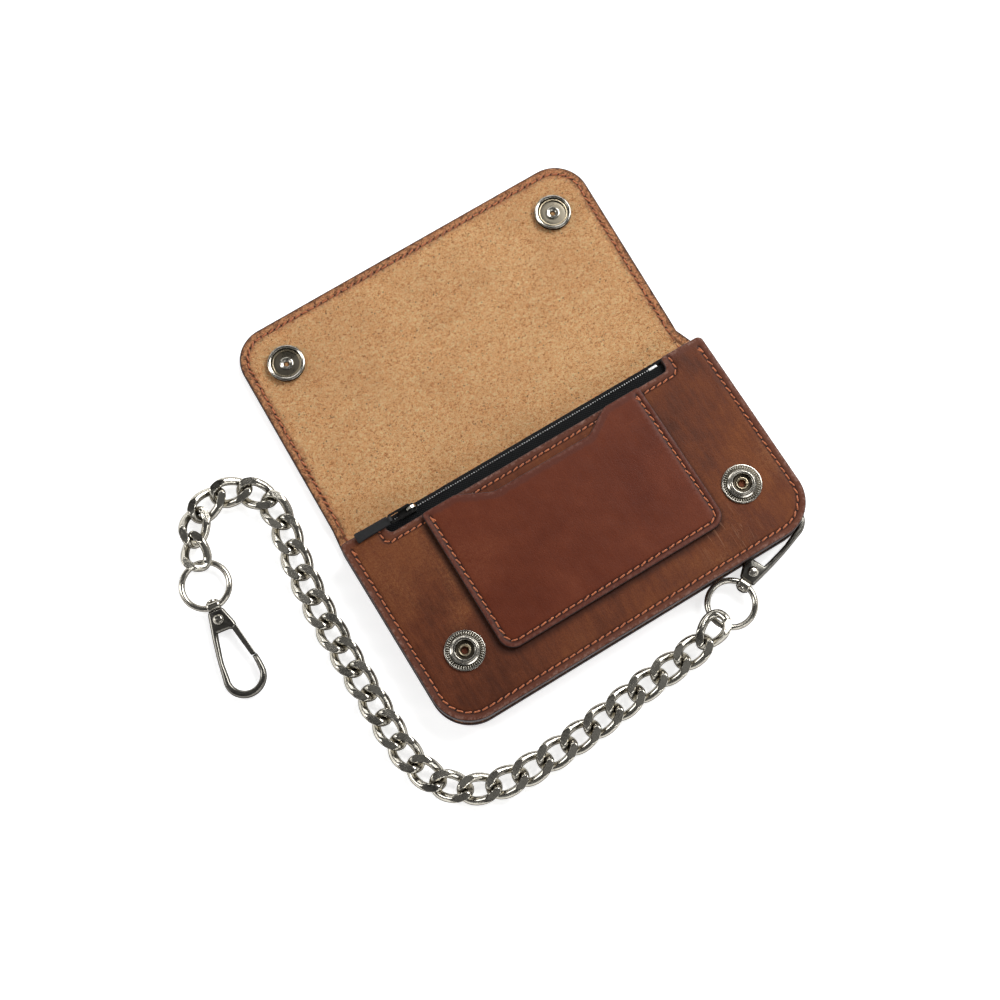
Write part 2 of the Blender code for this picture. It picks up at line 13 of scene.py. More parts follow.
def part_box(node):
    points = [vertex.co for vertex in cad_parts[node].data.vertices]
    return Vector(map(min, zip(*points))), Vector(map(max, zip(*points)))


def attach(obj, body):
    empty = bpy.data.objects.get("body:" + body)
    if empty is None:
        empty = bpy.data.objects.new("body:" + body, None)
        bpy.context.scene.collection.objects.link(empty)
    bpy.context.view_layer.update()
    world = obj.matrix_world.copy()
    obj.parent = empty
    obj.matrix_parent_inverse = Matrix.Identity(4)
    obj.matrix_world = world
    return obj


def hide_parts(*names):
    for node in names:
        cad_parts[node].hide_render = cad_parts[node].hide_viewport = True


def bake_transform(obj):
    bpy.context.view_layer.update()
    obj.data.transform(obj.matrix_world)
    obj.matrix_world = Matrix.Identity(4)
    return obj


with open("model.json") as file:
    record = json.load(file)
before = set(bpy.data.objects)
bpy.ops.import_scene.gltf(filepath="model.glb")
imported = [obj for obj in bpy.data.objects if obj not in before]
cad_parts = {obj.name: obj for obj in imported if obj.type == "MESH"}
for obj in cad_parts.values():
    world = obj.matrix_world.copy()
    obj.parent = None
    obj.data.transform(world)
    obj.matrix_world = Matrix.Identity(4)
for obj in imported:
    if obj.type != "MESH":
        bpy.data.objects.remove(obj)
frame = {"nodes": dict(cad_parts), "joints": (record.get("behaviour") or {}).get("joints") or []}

MM = 0.001
SCENE = bpy.context.scene
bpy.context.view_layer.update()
rng = np.random.default_rng(11)

# ---- camera
CAM_AZ, CAM_EL = radians(-31.47), radians(74.5)
CAM_DIST, CAM_LENS, SENSOR_WIDTH = 0.6943, 63.7, 36.0
TARGET = Vector((-0.01877, 0.02913, 0.0))


def aim(thing, direction, distance):
    """Put a camera or light off the target, looking back at it."""
    away = Vector(direction).normalized()
    thing.location = TARGET + away * distance
    thing.rotation_mode = "QUATERNION"
    thing.rotation_quaternion = (-away).to_track_quat("-Z", "Y")


cam_data = bpy.data.cameras.new("camera")
cam_data.lens, cam_data.sensor_width = CAM_LENS, SENSOR_WIDTH
cam_data.clip_start, cam_data.clip_end = 0.01, 20
camera = bpy.data.objects.new("camera", cam_data)
SCENE.collection.objects.link(camera)
CAM_SIDE = (sin(CAM_AZ) * cos(CAM_EL), -cos(CAM_AZ) * cos(CAM_EL), sin(CAM_EL))
aim(camera, CAM_SIDE, CAM_DIST)
SCENE.camera = camera


# ---- materials
def rgb(*channels):
    """An sRGB colour given as 0-255, in linear light."""
    parts = [c / 255 for c in channels]
    return tuple(c / 12.92 if c <= 0.04045 else ((c + 0.055) / 1.055) ** 2.4 for c in parts) + (1.0,)


class Nodes:
    """A small builder of shader nodes."""

    def __init__(self, tree):
        self.tree = tree

    def put(self, value, socket):
        if isinstance(value, bpy.types.NodeSocket):
            self.tree.links.new(value, socket)
        else:
            socket.default_value = value

    def node(self, kind, out=0, props=(), **inputs):
        """An output of a new node. Inputs go by name, or by number as i0, i1 and so on."""
        n = self.tree.nodes.new(kind)
        for key, value in dict(props).items():
            setattr(n, key, value)
        for key, value in inputs.items():
            numbered = key[0] == "i" and key[1:].isdigit()
            self.put(value, n.inputs[int(key[1:]) if numbered else key.replace("_", " ")])
        return n.outputs[out]

    def rest(self):
        """Where a leather point lies before any joint moves."""
        return self.node("ShaderNodeAttribute", 1, {"attribute_name": "rest"})

    def value(self, name):
        return self.node("ShaderNodeAttribute", 2, {"attribute_name": name})

    def where(self):
        return self.node("ShaderNodeTexCoord", 3)

    def stretch(self, vector, scale, rotation=(0, 0, 0)):
        return self.node("ShaderNodeMapping", Vector=vector, Scale=scale, Rotation=rotation)

    def noise(self, vector, scale, detail=4.0, rough=0.5, distortion=0.0):
        return self.node("ShaderNodeTexNoise", Vector=vector, Scale=scale, Detail=detail, Roughness=rough,
            Distortion=distortion)

    def cells(self, vector, scale):
        return self.node("ShaderNodeTexVoronoi", Vector=vector, Scale=scale)

    def math(self, op, a, b=0.0):
        return self.node("ShaderNodeMath", 0, {"operation": op}, i0=a, i1=b)

    def plus(self, a, b):
        return self.math("ADD", a, b)

    def times(self, a, b):
        return self.math("MULTIPLY", a, b)

    def ramp(self, fac, *stops):
        n = self.tree.nodes.new("ShaderNodeValToRGB")
        while len(n.color_ramp.elements) < len(stops):
            n.color_ramp.elements.new(0.5)
        for element, (position, colour) in zip(n.color_ramp.elements, stops):
            element.position = position
            element.color = colour
        self.put(fac, n.inputs[0])
        return n.outputs[0]

    def spread(self, value, low, high, to_low=0.0, to_high=1.0, kind="SMOOTHSTEP"):
        return self.node("ShaderNodeMapRange", 0, {"interpolation_type": kind}, i0=value, i1=low, i2=high,
            i3=to_low, i4=to_high)

    def mix(self, fac, a, b):
        return self.node("ShaderNodeMix", 2, {"data_type": "RGBA"}, i0=fac, i6=a, i7=b)

    def bump(self, height, strength, distance):
        return self.node("ShaderNodeBump", Strength=strength, Distance=distance, Height=height)


class Shader(Nodes):
    """A material with one principled shader."""

    def __init__(self, name, **sockets):
        self.mat = bpy.data.materials.new(name)
        self.mat.use_nodes = True
        super().__init__(self.mat.node_tree)
        self.set(**sockets)

    def tint(self, amount, colour):
        """Lay a colour over what the surface has so far."""
        self.colour = self.mix(amount, self.colour, colour)

    def set(self, **sockets):
        for key, value in sockets.items():
            self.put(value, self.tree.nodes["Principled BSDF"].inputs[key.replace("_", " ")])
        return self.mat


def grain_leather(name, dark, mid, light, rub, streak, pores=1.0, gloss=(0.44, 0.64), turn=0.0, rubbed=0.5,
        wear=None, scuffed=0.5, creased=None):
    """Waxed pull-up leather: cloudy tone, brushed streaks, pores, scuffed rim, painted shade in the seam
    grooves, a painted shadow where near is small. The attributes edge, seam and near are distances in
    millimetres."""
    s = Shader(name)
    p = s.rest()
    cloud = s.noise(p, 22, 4, 0.55, 0.5)
    patch = s.noise(p, 95, 5, 0.62, 0.4)
    brushed = s.noise(s.stretch(p, (620, 90, 60), (0, 0, turn)), 1.0, 4, 0.65)
    tone = s.plus(s.times(cloud, 0.6), s.times(patch, 0.4))
    tone = s.plus(tone, s.times(s.plus(brushed, -0.5), streak))
    s.colour = s.ramp(tone, (0.30, dark), (0.50, mid), (0.72, light))
    if wear:
        where_worn = s.spread(s.noise(p, 17, 3, 0.5, 0.8), 0.50, 0.72)
        worn = s.times(where_worn, s.spread(s.noise(p, 1000, 4, 0.8), 0.43, 0.57, 0.15, 1.0))
        s.tint(s.times(worn, rubbed), wear)
    # painted shadow: the front leather turns near-black brown within 3.6 mm of the card pocket
    s.tint(s.spread(s.value("near"), 3.6, 0.0, 0.0, 0.85), rgb(28, 13, 9))
    speck = s.spread(s.noise(p, 1700, 3, 0.7), 0.42, 0.60, 0.0, 0.55)
    s.tint(speck, s.mix(0.6, s.colour, dark))
    edge, seam = s.value("edge"), s.value("seam")
    wobble = s.times(s.plus(s.noise(p, 300, 4, 0.65), -0.5), 1.8)
    ragged_edge = s.plus(edge, wobble)
    s.tint(s.spread(ragged_edge, 3.9, 2.4, 0.0, 0.7), rub)
    scuff = s.times(s.spread(ragged_edge, 1.9, 0.7), s.spread(s.noise(p, 650, 5, 0.8), 0.42, 0.66))
    s.tint(s.times(scuff, scuffed), s.mix(0.55, rub, rgb(196, 160, 146)))
    s.tint(s.spread(edge, 0.42, 0.04, 0.0, 0.9), rgb(30, 17, 16))
    # painted shade in the stitch grooves: darker brown along the seams
    sunken = s.spread(s.plus(seam, s.times(wobble, 0.4)), 1.25, 0.35, 0.0, 0.72)
    s.tint(sunken, rgb(44, 20, 12))
    scratch = s.spread(s.noise(s.stretch(p, (40, 900, 200), (0, 0, 0.5)), 1.0, 3, 0.7), 0.64, 0.74)
    s.tint(s.times(scratch, 0.25), light)
    pore = s.spread(s.cells(p, 1300), 0.0, 0.45)
    wrinkle = s.noise(p, 520, 6, 0.65, 0.9)
    if creased:
        spot = s.node("ShaderNodeVectorMath", 1, {"operation": "DISTANCE"}, i0=p, i1=creased)
        lines = s.noise(s.stretch(p, (620, 70, 60), (0, 0, -0.35)), 1.0, 3, 0.6, 0.7)
        fold = s.times(s.spread(lines, 0.53, 0.64), s.spread(spot, 0.017, 0.004))
        s.tint(s.times(fold, 0.34), rgb(150, 104, 78))
        wrinkle = s.plus(wrinkle, s.times(fold, 1.2))
    height = s.plus(s.times(pore, 0.35 * pores), s.times(wrinkle, 0.8 * pores))
    height = s.plus(height, s.times(brushed, 0.5 * pores))
    return s.set(Base_Color=s.colour, Roughness=s.spread(tone, 0.3, 0.7, *gloss),
        Normal=s.bump(height, 0.55, 0.0003), Specular_IOR_Level=0.13)


def suede(name, light, mid, dark, border):
    """Flesh side of the leather: short matted fibres, dark pits, a burnt and mottled border."""
    s = Shader(name)
    p = s.rest()
    cloud = s.noise(p, 24, 5, 0.6, 0.4)
    nap = s.noise(p, 1150, 4, 0.7, 1.2)
    clump = s.noise(s.stretch(p, (420, 700, 420), (0, 0, 0.5)), 1.0, 5, 0.7, 1.5)
    tone = s.plus(s.times(nap, 0.6), s.times(clump, 0.4))
    s.colour = s.ramp(tone, (0.38, dark), (0.47, mid), (0.58, light))
    cloudy = s.mix(0.5, s.colour, rgb(190, 124, 76))
    s.tint(s.spread(cloud, 0.38, 0.66, 0.0, 0.40), cloudy)
    pits = s.times(s.spread(s.cells(p, 520), 0.24, 0.08), s.spread(s.noise(p, 210, 3, 0.6), 0.46, 0.60))
    s.tint(s.times(pits, 0.7), rgb(120, 68, 34))
    crumb = s.spread(s.noise(p, 980, 3, 0.55, 2.2), 0.385, 0.315)
    s.tint(s.times(crumb, 0.5), rgb(124, 72, 38))
    edge, seam = s.value("edge"), s.value("seam")
    ragged = s.times(s.plus(s.noise(p, 330, 5, 0.75, 1.0), -0.5), 6.5)
    rim = s.spread(s.plus(edge, ragged), 6.4, 2.6)
    mottle = s.ramp(s.noise(p, 760, 4, 0.75, 0.8), (0.42, rgb(92, 48, 32)), (0.49, border),
        (0.58, rgb(230, 162, 112)))
    s.tint(s.times(rim, 0.8), mottle)
    burnt = s.times(s.spread(edge, 1.9, 0.4), s.spread(s.noise(p, 480, 4, 0.8, 0.6), 0.40, 0.60))
    s.tint(s.times(burnt, 0.8), rgb(66, 36, 30))
    charred = s.spread(s.plus(edge, s.times(ragged, 0.1)), 0.9, 0.3, 0.0, 0.95)
    s.tint(charred, rgb(48, 26, 24))
    # painted shade in the stitch grooves: darker brown along the seams
    sunken = s.spread(s.plus(seam, s.times(ragged, 0.16)), 0.85, 0.25, 0.0, 0.6)
    s.tint(sunken, rgb(92, 46, 28))
    height = s.plus(s.times(nap, 0.8), s.times(clump, 0.7))
    height = s.math("SUBTRACT", height, s.times(pits, 0.7))
    return s.set(Base_Color=s.colour, Roughness=0.95, Sheen_Weight=0.1, Sheen_Roughness=0.5,
        Normal=s.bump(height, 1.0, 0.0025), Specular_IOR_Level=0.1)


def edge_leather(name, tone):
    """Burnished cut edge: near-black brown with faint layers."""
    s = Shader(name)
    layer = s.noise(s.stretch(s.rest(), (60, 60, 2600)), 1.0, 4, 0.6)
    return s.set(Base_Color=s.ramp(layer, (0.35, rgb(30, 17, 14)), (0.7, tone)),
        Roughness=s.spread(layer, 0.3, 0.7, 0.34, 0.6), Normal=s.bump(layer, 0.5, 0.0001))


def thread(name, light, dark):
    """Waxed thread with a fine twist."""
    s = Shader(name)
    p = s.where()
    colour = s.ramp(s.noise(p, 2200, 3, 0.7), (0.32, dark), (0.68, light))
    twist = s.bump(s.noise(p, 5200, 2), 0.6, 0.0001)
    return s.set(Base_Color=colour, Roughness=0.6, Sheen_Weight=0.3, Normal=twist)


def matte_black(name):
    """Black coated leather with a fine grain."""
    s = Shader(name)
    n = s.noise(s.where(), 900, 4, 0.7)
    return s.set(Base_Color=s.ramp(n, (0.35, rgb(13, 13, 14)), (0.7, rgb(31, 31, 33))),
        Roughness=s.spread(n, 0.3, 0.7, 0.5, 0.7), Normal=s.bump(n, 0.5, 0.0002), Specular_IOR_Level=0.3)


def metal(name, colour, rough, worn, dirt=rgb(70, 62, 50), flank_shade=0.6, hatch=0.5):
    """Polished plated metal: hairline scratches, faint clouding, and painted shade that darkens faces turned
    sideways."""
    s = Shader(name, Metallic=1.0, Specular_Tint=(0.25, 0.25, 0.25, 1))
    p = s.where()
    cloud = s.noise(p, 160, 4, 0.6)
    hair = s.noise(s.stretch(p, (900, 120, 700), (0.3, 0.2, 0.7)), 1.0, 4, 0.75)
    ding = s.noise(p, 700, 3, 0.6)
    up = s.node("ShaderNodeSeparateXYZ", 2, Vector=s.node("ShaderNodeTexCoord", 1))
    side = s.spread(s.math("ABSOLUTE", up), 0.75, 0.1)
    base = s.mix(s.spread(cloud, 0.5, 0.8, 0.0, worn), colour, dirt)
    base = s.mix(s.spread(ding, 0.60, 0.78, 0.0, worn), base, dirt)
    # painted shade: faces turned sideways darken towards near-black
    base = s.mix(s.times(side, flank_shade), base, rgb(26, 24, 21))
    height = s.plus(s.times(hair, hatch), s.times(ding, 0.8 * hatch))
    return s.set(Base_Color=base, Roughness=s.plus(s.spread(cloud, 0.3, 0.7, *rough), s.times(hair, 0.06)),
        Normal=s.bump(height, 0.2, 0.0001))


def woven(name, colour, pitch):
    """Tightly woven tape."""
    s = Shader(name)
    p = s.where()
    weave = []
    for slant in (0.785, -0.785):
        turned_p = s.stretch(p, (1, 1, 1), (0, 0, slant))
        weave.append(s.node("ShaderNodeTexWave", 1, Vector=turned_p, Scale=0.3125 / pitch, Distortion=0.4,
            Detail=1.0))
    height = s.times(*weave)
    fuzz = s.noise(p, 2400, 3, 0.7)
    tone = s.mix(s.spread(height, 0.0, 0.8, 0.0, 0.8), colour, rgb(40, 41, 42))
    tone = s.mix(s.times(fuzz, 0.3), tone, rgb(16, 16, 16))
    return s.set(Base_Color=tone, Roughness=0.9, Specular_IOR_Level=0.15,
        Normal=s.bump(s.plus(height, s.times(fuzz, 0.4)), 0.8, 0.0003))


CREASED_SPOT = (0.047, -0.032, 0.0117)
FRONT_LEATHER = grain_leather("leather_front", rgb(66, 33, 20), rgb(95, 49, 28), rgb(119, 67, 37),
    rgb(88, 50, 38), 0.36, turn=0.35, wear=rgb(146, 95, 58), creased=CREASED_SPOT)
POCKET_LEATHER = grain_leather("leather_pocket", rgb(82, 36, 22), rgb(94, 43, 25), rgb(108, 53, 32),
    rgb(82, 44, 35), 0.08, 0.4, (0.40, 0.52), rubbed=0.35, wear=rgb(122, 70, 46), scuffed=0.18)
OUTER_LEATHER = grain_leather("leather_outer", rgb(64, 32, 22), rgb(91, 48, 31), rgb(114, 66, 41),
    rgb(84, 50, 42), 0.28, turn=-0.2, wear=rgb(142, 90, 50))
INNER_LEATHER = grain_leather("leather_inner", rgb(54, 28, 21), rgb(78, 42, 30), rgb(98, 58, 42),
    rgb(80, 48, 40), 0.2)
SUEDE = suede("suede_lining", rgb(255, 218, 158), rgb(246, 175, 114), rgb(182, 106, 58), rgb(200, 124, 82))
EDGE = edge_leather("leather_edge", rgb(62, 36, 32))
TAB_LEATHER = matte_black("tab_black")
THREAD = thread("thread_rust", rgb(208, 116, 60), rgb(132, 62, 30))
THREAD_DARK = thread("thread_dark", rgb(214, 124, 70), rgb(140, 68, 38))
# painted shade: awl holes and the snaps' bores are near-black, for the shade inside a hole
HOLE_SHADE = Shader("painted_hole_shade", Roughness=0.9).set(Base_Color=rgb(34, 16, 10))
NICKEL = metal("nickel", rgb(188, 183, 172), (0.11, 0.22), 0.15, flank_shade=0.95, hatch=0.25)
CHAIN_METAL = metal("nickel_chain", rgb(202, 197, 185), (0.09, 0.2), 0.3, rgb(96, 90, 78), 0.85, 2.2)
HOOK_METAL = metal("nickel_hook", rgb(130, 127, 120), (0.12, 0.22), 0.15, rgb(80, 76, 70), 0.75, 0.12)
BRASSY = metal("nickel_warm", rgb(186, 172, 146), (0.18, 0.34), 0.3, rgb(104, 88, 62))
DARK_METAL = metal("zip_gunmetal", rgb(52, 51, 50), (0.24, 0.4), 0.3, rgb(22, 21, 20))
# painted shade: the sockets' floor is darker than the nickel, for the shade inside a socket
SOCKET_FLOOR_SHADE_METAL = metal("snap_floor", rgb(120, 113, 99), (0.22, 0.4), 0.3, rgb(80, 72, 58))
# painted shade: near-black metal for the stud's well and the flange between its ribs, where shade falls
RECESS_SHADE_METAL = metal("snap_recess_shade", rgb(68, 62, 52), (0.3, 0.5), 0.4, rgb(30, 26, 22))
TOOTH_METAL = metal("zip_tooth", rgb(196, 196, 196), (0.3, 0.45), 0.1)
STOP_METAL = metal("zip_stop", rgb(226, 226, 224), (0.2, 0.35), 0.15)
TAPE = woven("zip_tape_weave", rgb(17, 18, 19), 0.0008)


# ---- mesh helpers
def make_object(name, verts, faces, materials, smooth=True, face_mats=None):
    mesh = bpy.data.meshes.new(name)
    mesh.from_pydata([tuple(v) for v in np.asarray(verts, float) * MM], [], [tuple(f) for f in faces])
    for m in materials if isinstance(materials, (list, tuple)) else [materials]:
        mesh.materials.append(m)
    if face_mats is not None:
        mesh.polygons.foreach_set("material_index", np.asarray(face_mats, np.int32))
    mesh.polygons.foreach_set("use_smooth", np.full(len(mesh.polygons), smooth))
    mesh.validate()
    obj = bpy.data.objects.new(name, mesh)
    SCENE.collection.objects.link(obj)
    return obj


def coordinates(obj):
    """The mesh's points in metres, one row each."""
    co = np.zeros(len(obj.data.vertices) * 3, np.float32)
    obj.data.vertices.foreach_get("co", co)
    return co.reshape(-1, 3)


def add_float(obj, name, values):
    obj.data.attributes.new(name, "FLOAT", "POINT").data.foreach_set("value", np.asarray(values, np.float32))


def joined(parts):
    """Several (verts, faces) as one."""
    verts, faces, base = [], [], 0
    for v, f in parts:
        verts.append(np.asarray(v, float))
        faces += [tuple(i + base for i in face) for face in f]
        base += len(v)
    return np.concatenate(verts), faces


def tube_faces(rows, count, closed=False, flip=False):
    """Quads between neighbouring loops of count points, with caps over the ends of an open tube."""
    faces = []
    for k in range(rows if closed else rows - 1):
        low, high = k * count, (k + 1) % rows * count
        faces += [(low + i, low + (i + 1) % count, high + (i + 1) % count, high + i) for i in range(count)]
    if not closed:
        faces += [tuple(range(count))[::-1], tuple((rows - 1) * count + i for i in range(count))]
    return [(face[0], *face[:0:-1]) for face in faces] if flip else faces


def unit(rows):
    return rows / np.linalg.norm(rows, axis=-1)[..., None]


def left_of(directions):
    return np.stack([-directions[:, 1], directions[:, 0]], 1)


def run_along(path):
    """Distance from the start of a path to each of its points."""
    return np.concatenate([[0], np.cumsum(np.linalg.norm(np.diff(path, axis=0), axis=1))])


def rounded(corners, step=0.8, closed=True):
    """A dense path from (x, y, radius) corners."""
    out, n = [], len(corners)
    for i, (x, y, r) in enumerate(corners):
        here = np.array((x, y), float)
        if r <= 0 or (not closed and i in (0, n - 1)):
            out.append((x, y))
            continue
        back = unit(np.array(corners[i - 1][:2], float) - here)
        on = unit(np.array(corners[(i + 1) % n][:2], float) - here)
        half = acos(float(np.clip(back @ on, -1, 1))) / 2
        middle = here + unit(back + on) * r / sin(half)
        a, b = (here + side * r / tan(half) - middle for side in (back, on))
        t0 = atan2(a[1], a[0])
        turn = (atan2(b[1], b[0]) - t0 + pi) % (2 * pi) - pi
        steps = max(3, int(abs(turn) * r / step) + 2)
        for k in range(steps + 1):
            t = t0 + turn * k / steps
            out.append((middle[0] + r * cos(t), middle[1] + r * sin(t)))
    return np.array(out)


def densify(path, step, closed=True):
    """The path with extra points so that no span is longer than step."""
    pts = []
    ends = list(path) + ([path[0]] if closed else [])
    for a, b in zip(ends[:-1], ends[1:]):
        a, b = np.array(a, float), np.array(b, float)
        n = max(1, int(ceil(np.linalg.norm(b - a) / step)))
        pts += [a + (b - a) * k / n for k in range(n)]
    if not closed:
        pts.append(np.array(ends[-1], float))
    return np.array(pts)


def inset(loop, d):
    """A closed anticlockwise loop moved inwards."""
    before = left_of(unit(loop - np.roll(loop, 1, 0)))
    after = left_of(unit(np.roll(loop, -1, 0) - loop))
    n = unit(before + after)
    c = np.clip((n * before).sum(1), 0.5, 1)
    return loop + n * (d / c)[:, None]


def distance_to(points, path, closed=True):
    """Distance of each point from a path."""
    a = np.asarray(path, float)
    b = np.roll(a, -1, 0) if closed else a[1:]
    a = a if closed else a[:-1]
    best = np.full(len(points), 1e9)
    for i in range(0, len(a), 64):
        s, e = a[i:i + 64], b[i:i + 64]
        d = e - s
        t = np.clip(((points[:, None] - s) * d).sum(2) / np.maximum((d * d).sum(1), 1e-12), 0, 1)
        best = np.minimum(best, np.linalg.norm(points[:, None] - (s + t[..., None] * d), axis=2).min(1))
    return best


def inside(points, loop):
    """Which points lie inside a closed loop."""
    x, y = points[:, 0], points[:, 1]
    hit = np.zeros(len(points), bool)
    for (x0, y0), (x1, y1) in zip(loop, np.roll(loop, -1, 0)):
        if y0 != y1:
            hit ^= ((y0 > y) != (y1 > y)) & (x < (x1 - x0) * (y - y0) / (y1 - y0) + x0)
    return hit


NOISE_OCTAVES = 3


def smooth_noise(points, scale, seed):
    """Cheap band-limited noise, about -1 to 1, as a sum of sines."""
    r = np.random.default_rng(seed)
    total = np.zeros(len(points))
    for k in range(NOISE_OCTAVES):
        for _ in range(5):
            heading = r.uniform(0, 2 * pi)
            wave = 2 * pi / (scale / 1.8 ** k) * r.uniform(0.6, 1.4)
            across = points @ np.array([cos(heading), sin(heading)])
            total += 0.55 ** k * np.sin(across * wave + r.uniform(0, 6.3))
    return total / 5


WAVE_SPAN, DIMPLE_SPAN, DIMPLE = 46, 9, 0.05
# how a leather rim rounds over, as shares of its radius: (inwards, down)
RIM = [(1.0, 0.0), (0.62, 0.03), (0.34, 0.11), (0.14, 0.26), (0.03, 0.52), (0.0, 0.85)]
GROOVE_HALF = 0.65
SEAM_ROWS = (-0.9, -0.4, 0.0, 0.4, 0.9)
FAR = 99.0


def leather(name, outline, z0, z1, seams=(), top=FRONT_LEATHER, under=None, lift=None, spacing=1.6,
        groove=0.28, wave=0.10, cut_y=None, seed=1, under_seams=(), edge_mat=EDGE):
    """A leather panel: domed burnished rim, sunken seams and a slight wave. cut_y leaves that edge open
    and square, for a panel that goes on as another piece."""
    outline = densify(outline, 1.0)
    cut = np.zeros(len(outline), bool)
    if cut_y is not None:
        cut = np.abs(outline[:, 1] - cut_y) < 1e-6
        first_free = next(i for i in range(len(outline)) if not cut[i] and cut[i - 1])
        outline, cut = np.roll(outline, -first_free, 0), np.roll(cut, -first_free)
    r = min(1.0, (z1 - z0) * 0.45)
    rings = [(inset(outline, inwards * r), -down * r) for inwards, down in RIM]
    for loop, _ in rings:
        loop[cut, 1] = outline[cut, 1]
    first = rings[0][0]
    paths = [*seams, *under_seams]

    # points on a triangular grid, with closer rows along the seams
    lo, hi = outline.min(0), outline.max(0)
    xs, ys = np.meshgrid(np.arange(lo[0], hi[0], spacing), np.arange(lo[1], hi[1], spacing * 0.87))
    xs = xs + (np.arange(xs.shape[0]) % 2)[:, None] * spacing / 2
    grid = np.stack([xs.ravel(), ys.ravel()], 1)
    grid = grid[inside(grid, first)]
    if paths:
        rows, near = [], np.full(len(grid), False)
        for path, closed in paths:
            near |= distance_to(grid, path, closed) < 1.5
            path = densify(path, 0.9, closed)
            rows += [path + left_of(unit(np.gradient(path, axis=0))) * d for d in SEAM_ROWS]
        rows = np.concatenate(rows)
        grid = np.concatenate([grid[~near], rows[inside(rows, first)]])
    grid = grid[distance_to(grid, first) > 0.45]
    n = len(outline)
    pts = [Vector(p) for p in np.concatenate([first, grid])]
    co, _, tris, *_ = delaunay_2d_cdt(pts, [(i, (i + 1) % n) for i in range(n)], [], 1, 1e-5)
    flat = np.array([tuple(p) for p in co])
    # the triangulation keeps the order of the first ring
    assert np.abs(flat[:n] - first).max() < 1e-3

    def raised(p):
        return wave * smooth_noise(p, WAVE_SPAN, seed) + (lift(p) if lift else 0)

    def under_raised(p):
        return raised(p) if lift else np.maximum(raised(p), 0)

    def dip(p, lines):
        total = np.zeros(len(p))
        for path, closed in lines:
            total += groove * np.exp(-(distance_to(p, path, closed) / GROOVE_HALF) ** 2)
        return total

    # the top, the rim's rings from top to bottom, the underside
    top_z = z1 + raised(flat) - dip(flat, seams) + DIMPLE * smooth_noise(flat, DIMPLE_SPAN, seed + 5)
    verts = [np.column_stack([flat, top_z])]
    verts += [np.column_stack([loop, z1 + raised(loop) + drop]) for loop, drop in rings[1:]]
    verts += [np.column_stack([loop, z0 + under_raised(loop) - drop]) for loop, drop in reversed(rings[1:])]
    verts.append(np.column_stack([flat, z0 + under_raised(flat) + dip(flat, under_seams)]))
    starts = np.cumsum([0] + [len(v) for v in verts[:-1]])
    loops = [np.arange(n) + start for start in starts]
    bottom_at = starts[-1]
    verts = np.concatenate(verts)
    faces, mats = [], []
    for a, b, c in tris:
        if np.cross(flat[b] - flat[a], flat[c] - flat[a]) < 0:
            b, c = c, b
        faces += [(a, b, c), (a + bottom_at, c + bottom_at, b + bottom_at)]
        mats += [0, 2]
    steps = len(loops) - 1
    for k in range(steps):
        band = 0 if k < 2 else (2 if k > steps - 3 else 1)
        for i in range(n):
            j = (i + 1) % n
            if cut[i] and cut[j]:
                continue
            faces.append((loops[k][j], loops[k][i], loops[k + 1][i], loops[k + 1][j]))
            mats.append(band)
    obj = make_object(name, verts, faces, [top, edge_mat, under or top], True, mats)
    obj.data.attributes.new("rest", "FLOAT_VECTOR", "POINT").data.foreach_set("vector",
        coordinates(obj).ravel())
    xy = verts[:, :2]
    free = np.concatenate([outline[-1:], outline[~cut], outline[cut][:1]]) if cut.any() else outline
    add_float(obj, "edge", distance_to(xy, free, closed=not cut.any()))
    seam = np.full(len(xy), FAR)
    for path, closed in paths:
        seam = np.minimum(seam, distance_to(xy, path, closed))
    add_float(obj, "seam", seam)
    if top is not FRONT_LEATHER:
        add_float(obj, "near", np.full(len(xy), FAR))
    return obj


HOLE_R, HOLE_SIDES = 0.36, 8
THREAD_SIDES, THREAD_SPANS = 7, 8


